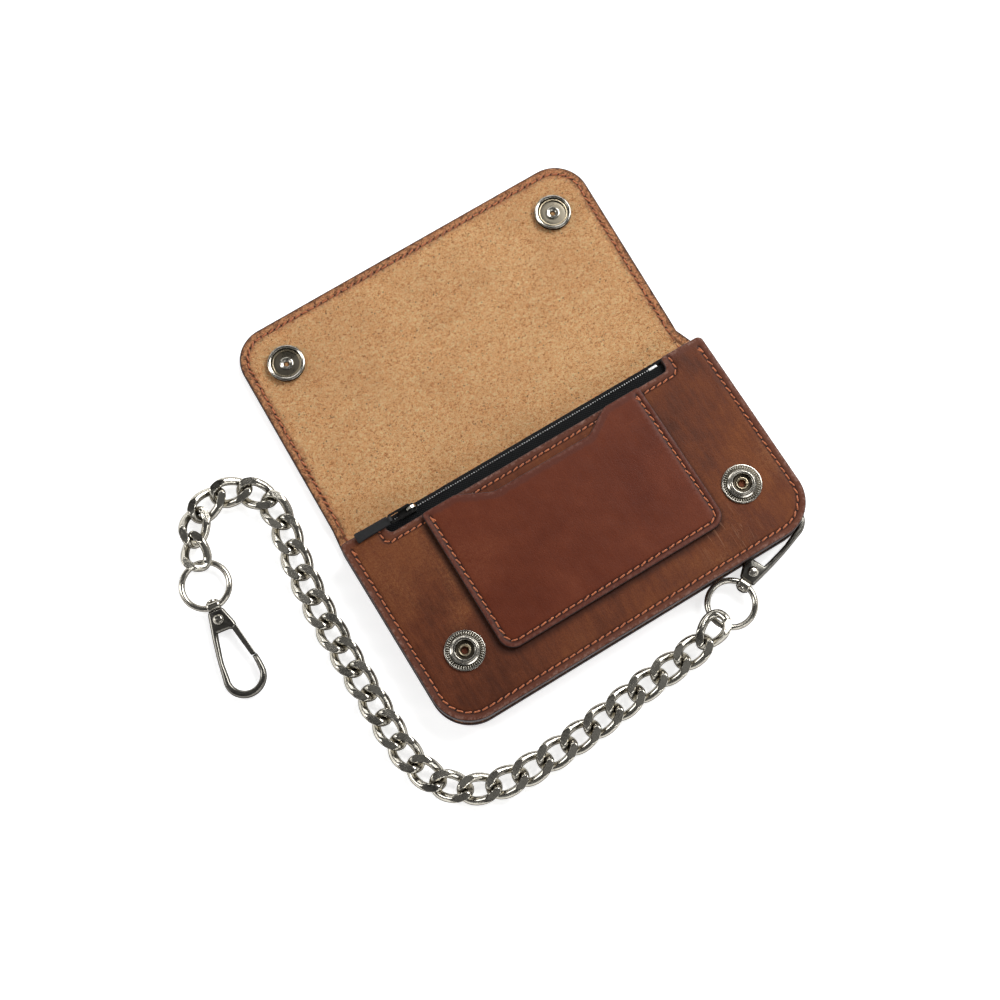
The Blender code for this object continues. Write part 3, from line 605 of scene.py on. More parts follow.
def stitch_row(path, closed, height, pitch=3.2, length=2.7, radius=0.36, slant=0.16, under=False,
        jitter=0.07, seed=3):
    """(parts of the thread, parts of the holes) of a row of twisted stitches along a path.
    height gives the surface's z at points; under turns the row to face down."""
    r = np.random.default_rng(seed)
    path = densify(path, 0.4, closed)
    if closed:
        path = np.concatenate([path, path[:1]])
    run = run_along(path)
    count = max(1, int(round(run[-1] / pitch)))
    step = run[-1] / count
    thread_parts, hole_parts = [], []
    flip = -1 if under else 1

    def at_run(distance):
        return np.array([np.interp(distance, run, path[:, i]) for i in (0, 1)])

    for k in range(count):
        s = (k + 0.5) * step + r.normal(0, 0.04)
        a, b = at_run(s - length / 2), at_run(s + length / 2)
        side = left_of(unit(b - a)[None])[0]
        tilt = slant + r.normal(0, jitter)
        a, b = a - side * tilt * length / 2, b + side * tilt * length / 2
        zs = height(np.array([a, b, (a + b) / 2]))
        verts = []
        for i in range(THREAD_SPANS + 1):
            t = i / THREAD_SPANS
            p = a + (b - a) * t
            arch = sin(pi * t) ** 0.6
            z = 0.5 * (zs[0] * (1 - t) + zs[1] * t + zs[2]) + flip * radius * 0.55 * (arch - 1)
            fat = radius * (0.35 + 0.65 * sin(pi * min(max(t, 0.03), 0.97)) ** 0.45)
            for j in range(THREAD_SIDES):
                q = 2 * pi * j / THREAD_SIDES
                bulge = fat * (1 + 0.16 * cos(2 * q + t * 7.0))
                verts.append((*(p + side * bulge * cos(q)), z + flip * bulge * sin(q) * 0.85))
        thread_parts.append((verts, tube_faces(THREAD_SPANS + 1, THREAD_SIDES)))
        x, y = at_run(s + step / 2)
        z = height(np.array([(x, y)]))[0]
        hole = [(x + HOLE_R * cos(q), y + HOLE_R * sin(q), z + flip * 0.03)
            for q in np.linspace(0, 2 * pi, HOLE_SIDES + 1)[:-1]]
        hole.append((x, y, z - flip * 0.05))
        fan = [(i, (i + 1) % HOLE_SIDES, HOLE_SIDES) for i in range(HOLE_SIDES)]
        hole_parts.append((hole, fan))
    return thread_parts, hole_parts


def stitches(name, rows, mat=THREAD):
    """One object of several stitch rows: thread, and awl holes coloured near-black as painted shade."""
    threads, holes = (joined([part for row in rows for part in row[i]]) for i in (0, 1))
    face_mats = [0] * len(threads[1]) + [1] * len(holes[1])
    return make_object(name, *joined([threads, holes]), [mat, HOLE_SHADE], True, face_mats)


def doubled(path, height, seed, side=0.45):
    """The back-stitches that lock both ends of a row."""
    rows = []
    for end, s in ((path[:9], side), (path[::-1][:9], -side)):
        end = densify(end, 0.4, False)
        end = end[run_along(end) < 3.9] + np.array([s, 0.0])
        rows.append(stitch_row(end, False, height, pitch=2.6, length=2.2, radius=0.42, slant=0.6, seed=seed))
    return rows


def surface(z, wave=0.0, seed=0, lift=None):
    """The height of a panel's face at points, for its stitches."""
    def height(p):
        return z + wave * smooth_noise(p, WAVE_SPAN, seed) + (lift(p) if lift else 0)
    return height


def fixed(piece, body, *nodes):
    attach(piece, body)
    if nodes:
        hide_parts(*nodes)
    return piece


def smooth_piece(name, part, material, body, *nodes, sharp=40):
    """A piece from (verts, faces), shaded smooth but for edges sharper than an angle."""
    obj = make_object(name, *part, material)
    obj.data.set_sharp_from_angle(angle=radians(sharp))
    return fixed(obj, body, *nodes)


def soft_piece(name, part, material, body, *nodes, width, segments, angle=30):
    """A flat-faced piece from (verts, faces), with its edges rounded."""
    obj = make_object(name, *part, material, False)
    m = obj.modifiers.new("soft_edge", "BEVEL")
    m.width, m.segments, m.limit_method, m.angle_limit = width * MM, segments, "ANGLE", radians(angle)
    m.harden_normals = True
    return fixed(obj, body, *nodes)


def lo_hi(node):
    low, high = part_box(node)
    return np.array(low) / MM, np.array(high) / MM


# ---- leather panels
back_lo, back_hi = lo_hi("back_panel")
front_lo, front_hi = lo_hi("front_panel")
middle_lo, middle_hi = lo_hi("middle_panel")
welt_lo, welt_hi = lo_hi("zip_welt")
gusset_lo, gusset_hi = lo_hi("bill_gusset")
pocket_lo, pocket_hi = lo_hi("card_pocket")
flap_lo, flap_hi = lo_hi("flap")
joints = {j["name"]: j for j in frame["joints"]}
fold_a = joints["spine_fold"]["pos_m"][1] / MM
fold_b = joints["flap_fold"]["pos_m"][1] / MM
HALF, LOW, TOP = front_hi[0], front_lo[1], front_hi[1]
CORNER = 16.0
SPLIT = (fold_a + fold_b) / 2
MARGIN = 3.2


def u_path(half, low, y_top, r):
    """Left side, bottom and right side of a rounded panel, as an open path."""
    return rounded([(-half, y_top, 0), (-half, low, r), (half, low, r), (half, y_top, 0)], closed=False)


# front panel with its zip mouth
MOUTH_HALF, MOUTH_FLOOR, MOUTH_MARGIN = 63.5, 37.2, 3.3
front_outline = rounded([(-HALF, LOW, CORNER), (HALF, LOW, CORNER), (HALF, TOP, 2.4),
    (MOUTH_HALF, TOP, 1.6), (MOUTH_HALF, MOUTH_FLOOR, 2.2), (-MOUTH_HALF, MOUTH_FLOOR, 2.2),
    (-MOUTH_HALF, TOP, 1.6), (-HALF, TOP, 2.0)])
front_seam = (u_path(HALF - MARGIN, LOW + MARGIN, TOP - 4.0, CORNER - MARGIN), False)
seam_half, seam_floor = MOUTH_HALF + MOUTH_MARGIN, MOUTH_FLOOR - MOUTH_MARGIN
mouth_seam = (rounded([(-seam_half, TOP - 1.2, 0), (-seam_half, seam_floor, 2.4),
    (seam_half, seam_floor, 3.4), (seam_half, TOP - 1.2, 0)], closed=False), False)
FRONT_WAVE, FRONT_SEED = 0.14, 4
front = leather("front_leather", front_outline, front_lo[2], front_hi[2], [front_seam, mouth_seam],
    FRONT_LEATHER, SUEDE, wave=FRONT_WAVE, seed=FRONT_SEED)
fixed(front, "wallet", "front_panel")
ph, pl, pt = pocket_hi[0], pocket_lo[1], pocket_hi[1]
# painted shadow round the card pocket: the front leather darkens near this outline, by the attribute near
pocket_shadow_outline = rounded([(-ph - 0.9, pl - 0.3, 6.0), (ph - 1.3, pl - 0.3, 6.0), (ph - 1.3, pt, 1.3),
    (-ph - 0.9, pt, 1.3)])
add_float(front, "near", distance_to(coordinates(front)[:, :2] / MM, pocket_shadow_outline) + 0.4)
front_z = surface(front_hi[2] - 0.1, FRONT_WAVE, FRONT_SEED)
front_rows = [stitch_row(*front_seam, front_z, seed=5),
    stitch_row(*mouth_seam, front_z, pitch=2.9, length=2.3, seed=6), *doubled(front_seam[0], front_z, 51)]
fixed(stitches("front_stitches", front_rows), "wallet")

# card pocket with its thumb notch
NOTCH_Y = pt - 6.8
POCKET_WAVE, POCKET_SEED = 0.05, 9
pocket_outline = rounded([(-ph, pl, 6.0), (ph, pl, 6.0), (ph, pt, 1.3), (33.2, pt, 5.0),
    (22.6, NOTCH_Y, 5.5), (-21.0, NOTCH_Y, 8.0), (-34.5, pt, 5.0), (-ph, pt, 1.3)])
pocket_seam = (u_path(ph - 2.5, pl + 2.5, pt - 2.6, 3.6), False)
pocket = leather("pocket_leather", pocket_outline, pocket_lo[2] - 0.25, pocket_hi[2], [pocket_seam],
    POCKET_LEATHER, SUEDE, wave=POCKET_WAVE, seed=POCKET_SEED, groove=0.34)
fixed(pocket, "wallet", "card_pocket")
pocket_z = surface(pocket_hi[2] - 0.14, POCKET_WAVE, POCKET_SEED)
pocket_rows = [stitch_row(*pocket_seam, pocket_z, seed=8), *doubled(pocket_seam[0], pocket_z, 52)]
fixed(stitches("pocket_stitches", pocket_rows), "wallet")


# inner layers
def inner_layer(name, outline, low, high, under, node, **kwargs):
    fixed(leather(name, outline, low[2], high[2], top=INNER_LEATHER, under=under, **kwargs), "wallet", node)


middle_outline = rounded([(-HALF, LOW, CORNER), (HALF, LOW, CORNER), (HALF, TOP, 2.0), (-HALF, TOP, 2.0)])
inner_layer("middle_leather", inset(densify(middle_outline, 1.0), 0.25), middle_lo, middle_hi, SUEDE,
    "middle_panel", wave=0.05, spacing=4, seed=12)
WELT = 7.0
welt_outline = rounded([(-HALF, TOP, 0.8), (-HALF, LOW, CORNER), (HALF, LOW, CORNER), (HALF, TOP, 0.8),
    (HALF - WELT, TOP, 0.8), (HALF - WELT, LOW + WELT, CORNER - WELT),
    (WELT - HALF, LOW + WELT, CORNER - WELT), (WELT - HALF, TOP, 0.8)])
inner_layer("welt_leather", inset(densify(welt_outline, 1.0), 0.4), welt_lo, welt_hi, INNER_LEATHER,
    "zip_welt", wave=0.03, spacing=3, seed=13)
gap, reach = 3.0, 9.0
gusset_outline = rounded([(gap - HALF, TOP - 1, 0.8), (gap - HALF, LOW + gap, CORNER - gap),
    (gusset_hi[0], LOW + gap, 0.8), (gusset_hi[0], LOW + reach, 0.8),
    (reach - HALF, LOW + reach, CORNER - reach), (reach - HALF, TOP - 1, 0.8)])
inner_layer("gusset_leather", gusset_outline, gusset_lo, gusset_hi, INNER_LEATHER, "bill_gusset", wave=0.02,
    spacing=3, seed=14)

# back and flap are one skin in two pieces, meeting halfway along the fold
flap_half, flap_end = flap_hi[0], flap_hi[1]
rise = flap_lo[2] - back_lo[2]


def fold_lift(p):
    """The skin's climb from the table at the back to the height of the flap."""
    t = np.clip((p[:, 1] - (TOP - 3)) / (fold_b - TOP + 3), 0, 1)
    return rise * t * t * (3 - 2 * t)


def flap_lift(p):
    return fold_lift(p) - rise


neck_left, neck_right = -flap_half + 0.2, flap_half - 3.4
back_outline = rounded([(-HALF, LOW, CORNER), (HALF, LOW, CORNER), (HALF, TOP - 3.5, 3),
    (flap_half - 0.2, TOP + 1.4, 6), (neck_right, SPLIT, 0), (neck_left, SPLIT, 0), (-HALF, TOP - 2, 6)])
round_seam = u_path(HALF - MARGIN, LOW + MARGIN, TOP - 6, CORNER - MARGIN)
back_seam = np.concatenate([[(neck_left + MARGIN, SPLIT)], round_seam, [(neck_right - MARGIN, SPLIT)]])
back = leather("back_leather", back_outline, back_lo[2], back_hi[2], [], SUEDE, OUTER_LEATHER, fold_lift,
    1.8, wave=0.0, cut_y=SPLIT, seed=20, under_seams=[(back_seam, False)])
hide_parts("back_panel", "fold_spine")
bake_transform(back)

far_left, far_right, far_end = -flap_half + 2.4, flap_half + 0.3, flap_end - 0.8
flap_outline = rounded([(neck_left, SPLIT, 0), (neck_right, SPLIT, 0), (far_right, flap_end, 14.5),
    (far_left, far_end, 14)])
flap_seam = rounded([(neck_left + MARGIN, SPLIT, 0), (far_left + MARGIN, far_end - MARGIN, 14 - MARGIN),
    (far_right - MARGIN, flap_end - MARGIN, 14.5 - MARGIN), (neck_right - MARGIN, SPLIT, 0)], closed=False)
flap = leather("flap_leather", flap_outline, flap_lo[2], flap_hi[2], [(flap_seam, False)], SUEDE,
    OUTER_LEATHER, flap_lift, 1.8, wave=0.0, cut_y=SPLIT, seed=21, under_seams=[(flap_seam, False)],
    groove=0.34)
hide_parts("flap")
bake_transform(flap)

flap_top = surface(flap_hi[2] + 0.02, lift=flap_lift)
flap_under = surface(flap_lo[2] + 0.12, lift=flap_lift)
back_top = surface(back_hi[2] + 0.02, lift=fold_lift)
back_under = surface(back_lo[2] + 0.22, lift=fold_lift)
flap_rows = [stitch_row(flap_seam, False, flap_top, 3.1, 2.8, 0.35, 0.3, jitter=0.25, seed=15),
    stitch_row(flap_seam, False, flap_under, under=True, seed=16)]
flap_stitches = stitches("flap_stitches", flap_rows, THREAD_DARK)
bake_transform(flap_stitches)
back_rows = [stitch_row(back_seam, False, back_under, under=True, seed=17, radius=0.3)]
for x in (neck_left + MARGIN, neck_right - MARGIN):
    back_rows.append(stitch_row(np.array([(x, SPLIT), (x, TOP + 1)]), False, back_top, radius=0.3))
back_stitches = stitches("back_stitches", back_rows)
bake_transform(back_stitches)


# ---- turned, cast and swept shapes
def turned(outline, steps):
    """(verts, faces) of a closed (radius, height) outline turned about z."""
    angles = [2 * pi * k / steps for k in range(steps)]
    verts = [(r * cos(t), r * sin(t), z) for t in angles for r, z in outline]
    return np.array(verts), tube_faces(steps, len(outline), True, True)


def profile(*corners):
    return rounded(list(corners), 0.12)


def transform(part, matrix):
    v, f = part
    m = np.array(matrix)
    return np.asarray(v) @ m[:3, :3].T + m[:3, 3], f


def at(x, y, z):
    return Matrix.Translation((x, y, z))


def box_part(x0, x1, y0, y1, z0, z1):
    v = [(x, y, z) for z in (z0, z1) for y in (y0, y1) for x in (x0, x1)]
    f = [(0, 2, 3, 1), (4, 5, 7, 6), (0, 1, 5, 4), (2, 6, 7, 3), (0, 4, 6, 2), (1, 3, 7, 5)]
    return np.array(v, float), f


def stacked(rings):
    """(verts, faces) of a solid through loops of the same length, from bottom to top."""
    return np.concatenate(rings), tube_faces(len(rings), len(rings[0]))


def plate(outline, z0, z1):
    """(verts, faces) of a flat plate from an anticlockwise outline."""
    return stacked([np.column_stack([outline, np.full(len(outline), z)]) for z in (z0, z1)])


def cast_plate(outline, half, soft, steps=12):
    """(verts, faces) of a plate with oval rims, from an anticlockwise outline."""
    rings = []
    for t in np.linspace(-pi / 2, pi / 2, steps + 1):
        loop = inset(outline, soft * (1 - cos(t)))
        rings.append(np.column_stack([loop, np.full(len(loop), half * sin(t))]))
    return stacked(rings)


def sweep(path, section, closed=True, ups=None):
    """(verts, faces) of a section (side, up) carried along a path."""
    path, section = np.asarray(path, float), np.asarray(section, float)
    n = len(path)
    tangent = unit(np.roll(path, -1, 0) - np.roll(path, 1, 0) if closed else np.gradient(path, axis=0))
    ups = np.tile((0.0, 0.0, 1.0), (n, 1)) if ups is None else np.asarray(ups, float)
    side = unit(np.cross(tangent, ups))
    up = np.cross(side, tangent)
    verts = path[:, None] + section[None, :, :1] * side[:, None] + section[None, :, 1:] * up[:, None]
    return verts.reshape(-1, 3), tube_faces(n, len(section), closed)


def oval(a, b, count):
    angles = [2 * pi * k / count for k in range(count)]
    return [(a * cos(t), b * sin(t)) for t in angles]


def spun(name, outline, steps, place, material, body, *nodes):
    """A turned piece, put in place."""
    smooth_piece(name, transform(turned(outline, steps), place), material, body, *nodes)


# ---- snaps
stud_lo, stud_hi = lo_hi("stud_right")
socket_lo, socket_hi = lo_hi("socket_right")
snap_x = (stud_lo[0] + stud_hi[0]) / 2
stud_y, socket_y = (stud_lo[1] + stud_hi[1]) / 2, (socket_lo[1] + socket_hi[1]) / 2

FLANGE = profile((2.3, 0.0, 0), (7.45, 0.0, 0.1), (7.45, 0.34, 0.12), (5.2, 0.42, 0.1), (2.3, 0.42, 0.05))
FLANGE_RIM = profile((7.2, 0.02, 0.05), (7.85, 0.02, 0.1), (7.85, 0.42, 0.18), (7.2, 0.46, 0.15))
CUP = profile((5.75, 0.3, 0.05), (5.7, 0.62, 0.15), (5.05, 0.95, 0.4), (4.8, 1.5, 0.3), (4.98, 1.95, 0.2),
    (4.65, 2.2, 0.22), (3.85, 2.2, 0.28), (3.65, 1.7, 0.3), (3.6, 0.35, 0.1), (4.4, 0.3, 0.1))
WELL = profile((1.65, 0.3, 0), (3.66, 0.3, 0), (3.66, 1.0, 0.1), (3.3, 0.62, 0.3), (1.65, 0.55, 0))
EYELET = profile((1.3, -1.6, 0), (1.6, -1.6, 0), (1.7, 0.5, 0.3), (2.1, 0.75, 0.2), (2.45, 0.85, 0.1),
    (2.4, 1.2, 0.14), (2.0, 1.2, 0.2), (1.55, 0.8, 0.3), (1.3, 0.2, 0.3))
BORE = profile((0.001, -1.7, 0), (1.34, -1.7, 0), (1.34, -0.1, 0), (1.27, -0.1, 0), (1.27, -1.5, 0),
    (0.001, -1.5, 0))
SOCKET = profile((2.2, 0.0, 0), (7.35, 0.0, 0.1), (7.5, 0.4, 0.2), (7.5, 1.7, 0.35), (6.95, 2.0, 0.3),
    (6.3, 1.78, 0.2), (6.05, 1.3, 0.25), (6.1, 0.75, 0.2), (5.75, 0.34, 0.15), (2.2, 0.34, 0.1))
SPRING = profile((5.2, 0.55, 0.15), (5.95, 0.55, 0.15), (5.95, 1.05, 0.2), (5.2, 1.05, 0.2))
SOCKET_FLOOR = profile((1.6, 0.3, 0), (6.1, 0.3, 0), (6.1, 0.42, 0.05), (3.4, 0.38, 0.3), (1.6, 0.44, 0))
CAP = profile((0.001, 0.0, 0), (5.6, 0.06, 1.5), (7.2, 0.35, 0.4), (7.4, 0.8, 0.15), (7.0, 1.0, 0.1),
    (0.001, 1.0, 0))
FLARE = profile((0.95, -1.0, 0), (1.6, -1.0, 0), (1.7, 0.5, 0.3), (2.6, 0.62, 0.1), (2.75, 0.82, 0.1),
    (2.3, 0.95, 0.12), (1.4, 0.72, 0.3), (0.95, 0.3, 0.2))
CAP_PLUG = profile((0.001, -1.1, 0), (1.3, -1.1, 0), (1.3, -0.9, 0), (0.001, -0.9, 0))


def ribs(inner, outer, count, low, high, width):
    """Short rounded bars set like rays."""
    parts, reach = [], outer - inner
    steps = [(inner, 0.15), (inner + 0.15 * reach, 0.8), (0.5 * (inner + outer), 1.0),
        (outer - 0.15 * reach, 0.8), (outer, 0.15)]
    faces = [(i * 5 + j, i * 5 + j + 5, i * 5 + j + 6, i * 5 + j + 1) for i in range(4) for j in range(4)]
    for k in range(count):
        t = 2 * pi * k / count
        c, s = cos(t), sin(t)
        verts = []
        for r, h in steps:
            for q in (-1, -0.6, 0, 0.6, 1):
                z = low + (high - low) * h * (1 - q * q * 0.9) if abs(q) < 1 else low
                side = q * width / 2
                verts.append((r * c - side * s, r * s + side * c, z))
        parts.append((verts, faces))
    return joined(parts)


for side, word in ((-1, "left"), (1, "right")):
    x = side * snap_x
    here, there = at(x, stud_y, stud_lo[2]), at(x, socket_y, socket_lo[2])
    # painted shade: the flange base between the ribs is near-black metal
    spun("snap_flange_" + word, FLANGE, 96, here, RECESS_SHADE_METAL, "wallet")
    knurl = joined([ribs(5.9, 7.35, 46, 0.3, 0.72, 0.56), turned(FLANGE_RIM, 96)])
    smooth_piece("snap_knurl_" + word, transform(knurl, here), NICKEL, "wallet", sharp=50)
    spun("snap_stud_" + word, CUP, 96, here, NICKEL, "wallet", "stud_" + word)
    # painted shade: the cup's well is near-black metal
    spun("snap_well_" + word, WELL, 64, here, RECESS_SHADE_METAL, "wallet")
    spun("snap_post_" + word, EYELET, 48, here, BRASSY, "wallet", "stud_eyelet_" + word)
    # painted shade: the bore is near-black
    spun("snap_bore_" + word, BORE, 32, here, HOLE_SHADE, "wallet")
    spun("snap_socket_" + word, SOCKET, 96, there, NICKEL, "flap", "socket_" + word)
    spun("snap_spring_" + word, SPRING, 96, there, BRASSY, "flap")
    # painted shade: the socket floor is darker metal
    spun("snap_floor_" + word, SOCKET_FLOOR, 72, there, SOCKET_FLOOR_SHADE_METAL, "flap")
    cap = joined([transform(turned(CAP, 96), at(x, socket_y, 0)), transform(turned(FLARE, 48), there),
        transform(turned(CAP_PLUG, 24), there)])
    smooth_piece("snap_cap_" + word, cap, NICKEL, "flap", "cap_" + word)

# ---- zip
teeth_lo, teeth_hi = lo_hi("zip_teeth")
slider_lo, slider_hi = lo_hi("zip_slider")
teeth_y = (teeth_lo[1] + teeth_hi[1]) / 2


def strip(x0, x1, section, cells=90):
    """A long strip along x from a closed (y, z) section, with a slight ripple."""
    rings = []
    for x in np.linspace(x0, x1, cells + 1):
        ripple = 0.05 * sin(x * 0.21 + 1) + 0.04 * sin(x * 0.53)
        rings.append(np.array([(x, y, z + ripple) for y, z in section]))
    return np.concatenate(rings), tube_faces(len(rings), len(section), flip=True)


tape_y = lo_hi("zip_tape_front")[0][1]
FRONT_TAPE = [(tape_y, 8.9), (tape_y, 9.3), (38.2, 9.45), (39.8, 9.62), (40.7, 9.78), (41.12, 9.84),
    (41.2, 9.5), (40.4, 9.05), (38.2, 8.85)]
BACK_TAPE = [(41.8, 9.4), (41.88, 9.84), (42.5, 9.78), (43.2, 9.5), (43.45, 8.6), (43.4, 7.9), (42.9, 7.9),
    (42.75, 8.9)]
for letter, node, section in (("a", "zip_tape_front", FRONT_TAPE), ("b", "zip_tape_back", BACK_TAPE)):
    low, high = lo_hi(node)
    smooth_piece("zip_tape_" + letter, strip(low[0], high[0], section), TAPE, "wallet", node, sharp=60)
# interlocked teeth: cast heads from either side in turn
TOOTH_PITCH = 1.05
roots, tips = [], []
for k, x in enumerate(np.arange(teeth_lo[0] + 0.6, teeth_hi[0] - 4.2, TOOTH_PITCH)):
    s = 1 if k % 2 else -1
    roots.append(box_part(x - 0.36, x + 0.36, *sorted((teeth_y - s * 0.2, teeth_y + s * 0.5)), 8.7, 9.86))
    tips.append(box_part(x - 0.18, x + 0.18, teeth_y - 0.23, teeth_y + 0.23, 9.6, 10.05))
soft_piece("zip_teeth_roots", joined(roots), DARK_METAL, "wallet", "zip_teeth", width=0.1, segments=1)
soft_piece("zip_teeth_tips", joined(tips), TOOTH_METAL, "wallet", width=0.08, segments=2)
end_stop = box_part(teeth_hi[0] - 3.9, teeth_hi[0], teeth_y - 0.6, teeth_y + 0.6, 8.4, 10.15)
soft_piece("zip_end_stop", end_stop, STOP_METAL, "wallet", width=0.35, segments=3)

# slider: waisted top plate, flanges, and a crown that holds the bail's pin
slider_x, slider_half = (slider_lo[0] + slider_hi[0]) / 2, (slider_hi[0] - slider_lo[0]) / 2
slider_tail, slider_nose = slider_x - slider_half, slider_x + slider_half
top_plate = rounded([(slider_tail, teeth_y - 1.15, 0.7), (slider_x - 0.6, teeth_y - 1.75, 1.2),
    (slider_nose - 0.8, teeth_y - 1.9, 0.9), (slider_nose, teeth_y, 1.2),
    (slider_nose - 0.8, teeth_y + 1.9, 0.9), (slider_x - 0.6, teeth_y + 1.75, 1.2),
    (slider_tail, teeth_y + 1.15, 0.7)], 0.3)
slider_parts = [plate(top_plate, 10.45, 11.3)]
for s in (-1, 1):
    flange_y = sorted((teeth_y + s * 1.25, teeth_y + s * 1.85))
    slider_parts.append(box_part(slider_tail + 0.6, slider_nose - 1.0, *flange_y, 9.65, 10.6))
soft_piece("slider_body", joined(slider_parts), DARK_METAL, "slider", "zip_slider", width=0.18, segments=3)
pivot = np.array(joints["puller_swing"]["pos_m"]) / MM


def bar_section(half_wide, half_high):
    return [(-half_wide, -half_high), (half_wide, -half_high), (half_wide, half_high),
        (-half_wide, half_high)]


CROWN = [(-2.0, 11.2), (-1.9, 12.5), (-1.2, 13.35), (0.0, 13.62), (1.2, 13.35), (1.9, 12.5), (2.0, 11.2)]
CROWN_UPS = [(-1, 0, 0.3)] * 2 + [(-0.4, 0, 1), (0, 0, 1), (0.4, 0, 1)] + [(1, 0, 0.3)] * 2
crown_path = np.array([(pivot[0] + 0.1 + u, teeth_y, z) for u, z in CROWN])
before = np.concatenate([crown_path[:1], crown_path[:-1]])
after = np.concatenate([crown_path[1:], crown_path[-1:]])
crown_path = (before + 2 * crown_path + after) / 4
# painted highlight: the crown is bright nickel on the dark slider, standing for the light on its top
soft_piece("slider_crown", sweep(crown_path, bar_section(0.55, 0.22), False, CROWN_UPS), NICKEL, "slider",
    width=0.12, segments=2)

bail_far = lo_hi("zip_bail")[0][0] + 0.5
bail_path = densify(rounded([(pivot[0], pivot[1] - 1.55, 0.8), (pivot[0], pivot[1] + 1.55, 0.8),
    (bail_far, pivot[1] + 1.55, 0.8), (bail_far, pivot[1] - 1.55, 0.8)], 0.3), 0.8)
bail_path = np.column_stack([bail_path, np.full(len(bail_path), pivot[2])])
bail_section = profile(*((u, v, 0.2) for u, v in bar_section(0.45, 0.32)))
smooth_piece("zip_pull_bail", sweep(bail_path, bail_section), DARK_METAL, "puller", "zip_bail")
tab_lo, tab_hi = lo_hi("pull_tab")
tab_end, tab_near, tab_y = tab_lo[0], tab_hi[0] + 0.6, (tab_lo[1] + tab_hi[1]) / 2
tab_outline = rounded([(tab_end, tab_y - 2.15, 0.7), (tab_end + 4, tab_y - 1.9, 3),
    (tab_near, tab_y - 1.85, 0.6), (tab_near, tab_y + 1.85, 0.6), (tab_end + 4, tab_y + 1.9, 3),
    (tab_end, tab_y + 2.15, 0.7)], 0.4)
tab = leather("pull_tab_leather", tab_outline, tab_lo[2] + 0.2, tab_hi[2] - 0.25, top=TAB_LEATHER,
    edge_mat=TAB_LEATHER, wave=0.0, spacing=0.9, seed=31)
fixed(tab, "puller", "pull_tab")
# the tab's two plies go round the bail's far bar
ply_angles = np.linspace(-2.2, 2.2, 15)
ply_path = [(tab_hi[0] + 0.75 + 1.05 * cos(t), tab_y, pivot[2] + 0.8 * sin(t)) for t in ply_angles]
ply_ups = [(cos(t), 0, sin(t)) for t in ply_angles]
smooth_piece("pull_tab_loop", sweep(ply_path, bar_section(0.95, 0.22), False, ply_ups), TAB_LEATHER,
    "puller", sharp=50)

# ---- chain
LINK_A, LINK_B, LINK_SQUARE, LINK_TWIST = 6.95, 4.4, 2.6, -45.0
WIRE_WIDE, WIRE_HIGH, WIRE_SIDES, LINK_STEPS = 1.7, 1.5, 20, 72
LINK_Z, LINK_FLAT = 3.4, 2.5
# how the end links lie: (roll, lean, height)
END_LINKS = {1: (-18.3, -19.8, 5.96), 2: (0.4, -6.1, 4.51), 28: (8.7, -5.7, 3.63), 29: (-13.8, -11.3, 5.11)}


def link_part():
    """One curb link, ground flat top and bottom."""
    path, ups = [], []
    for k in range(LINK_STEPS):
        t = 2 * pi * (k + 0.5) / LINK_STEPS
        c, s = cos(t), sin(t)
        u = LINK_A * copysign(abs(c) ** (2 / LINK_SQUARE), c)
        r = LINK_B * copysign(abs(s) ** (2 / LINK_SQUARE), s)
        turn = radians(LINK_TWIST) * u / LINK_A
        path.append((u, r * cos(turn), r * sin(turn)))
        ups.append((0, -sin(turn), cos(turn)))
    v, f = sweep(path, oval(WIRE_WIDE, WIRE_HIGH, WIRE_SIDES), True, ups)
    roof = LINK_FLAT + 0.10 * (3.4 - np.abs(v[:, 1]))
    v[:, 2] = np.clip(v[:, 2], -roof, roof)
    return v, f


link = link_part()
nodes_at = [np.array(joints[f"chain_{n:02d}"]["pos_m"][:2]) / MM for n in range(1, 31)]
for n in range(1, 30):
    start, end = nodes_at[n - 1], nodes_at[n]
    heading = atan2(*(end - start)[::-1])
    reach = 4.1 if n == 1 else 5.4
    centre = start + reach * np.array((cos(heading), sin(heading)))
    roll, lean, height = END_LINKS.get(n, (rng.normal(0, 1.5), rng.normal(0, 1.2), LINK_Z))
    facing = Matrix.Rotation(heading + (pi if n > 14 else 0), 4, "Z")
    tilt = Matrix.Rotation(radians(-lean), 4, "Y") @ Matrix.Rotation(radians(roll), 4, "X")
    smooth_piece(f"curb_link_{n:02d}", transform(link, at(*centre, height) @ facing @ tilt), CHAIN_METAL,
        f"link_{n:02d}", f"link_{n:02d}", sharp=28)

# ---- hooks, along x from the swivel's collar
LOOP_U, LOOP_V, LOOP_R = 28.2, 1.5, 7.1
HOOK_HALF = 1.7
RING_R, RING_WIRE, RING_GAP = 9.2, 1.2, 0.19
SHANK = profile((0.001, 1.0, 0), (0.001, -4.55, 0), (1.3, -4.5, 0.4), (2.0, -4.1, 0.4), (2.0, -3.2, 0.25),
    (1.25, -3.1, 0.1), (1.25, 1.0, 0))
RIVET = profile((0.001, 1.2, 0), (0.001, -0.4, 0), (2.1, -0.4, 0.1), (2.1, 0.35, 0.3), (1.3, 1.05, 0.6))
GATE = rounded([(21.45, 6.5, 0.3), (21.6, 8.55, 0.3), (8.4, 5.6, 1.2), (6.9, 4.9, 0.9), (6.9, 3.6, 0.9),
    (8.2, 3.2, 0.8)], 0.3)
GATE_PIN = profile((0.001, 1.55, 0), (0.001, -1.55, 0), (0.75, -1.55, 0.2), (0.75, 1.55, 0.2))
BARREL = profile((0.001, -2.6, 0), (1.9, -2.6, 0.35), (2.25, -1.9, 0.4), (2.25, 1.9, 0.4), (1.9, 2.6, 0.35),
    (0.001, 2.6, 0))


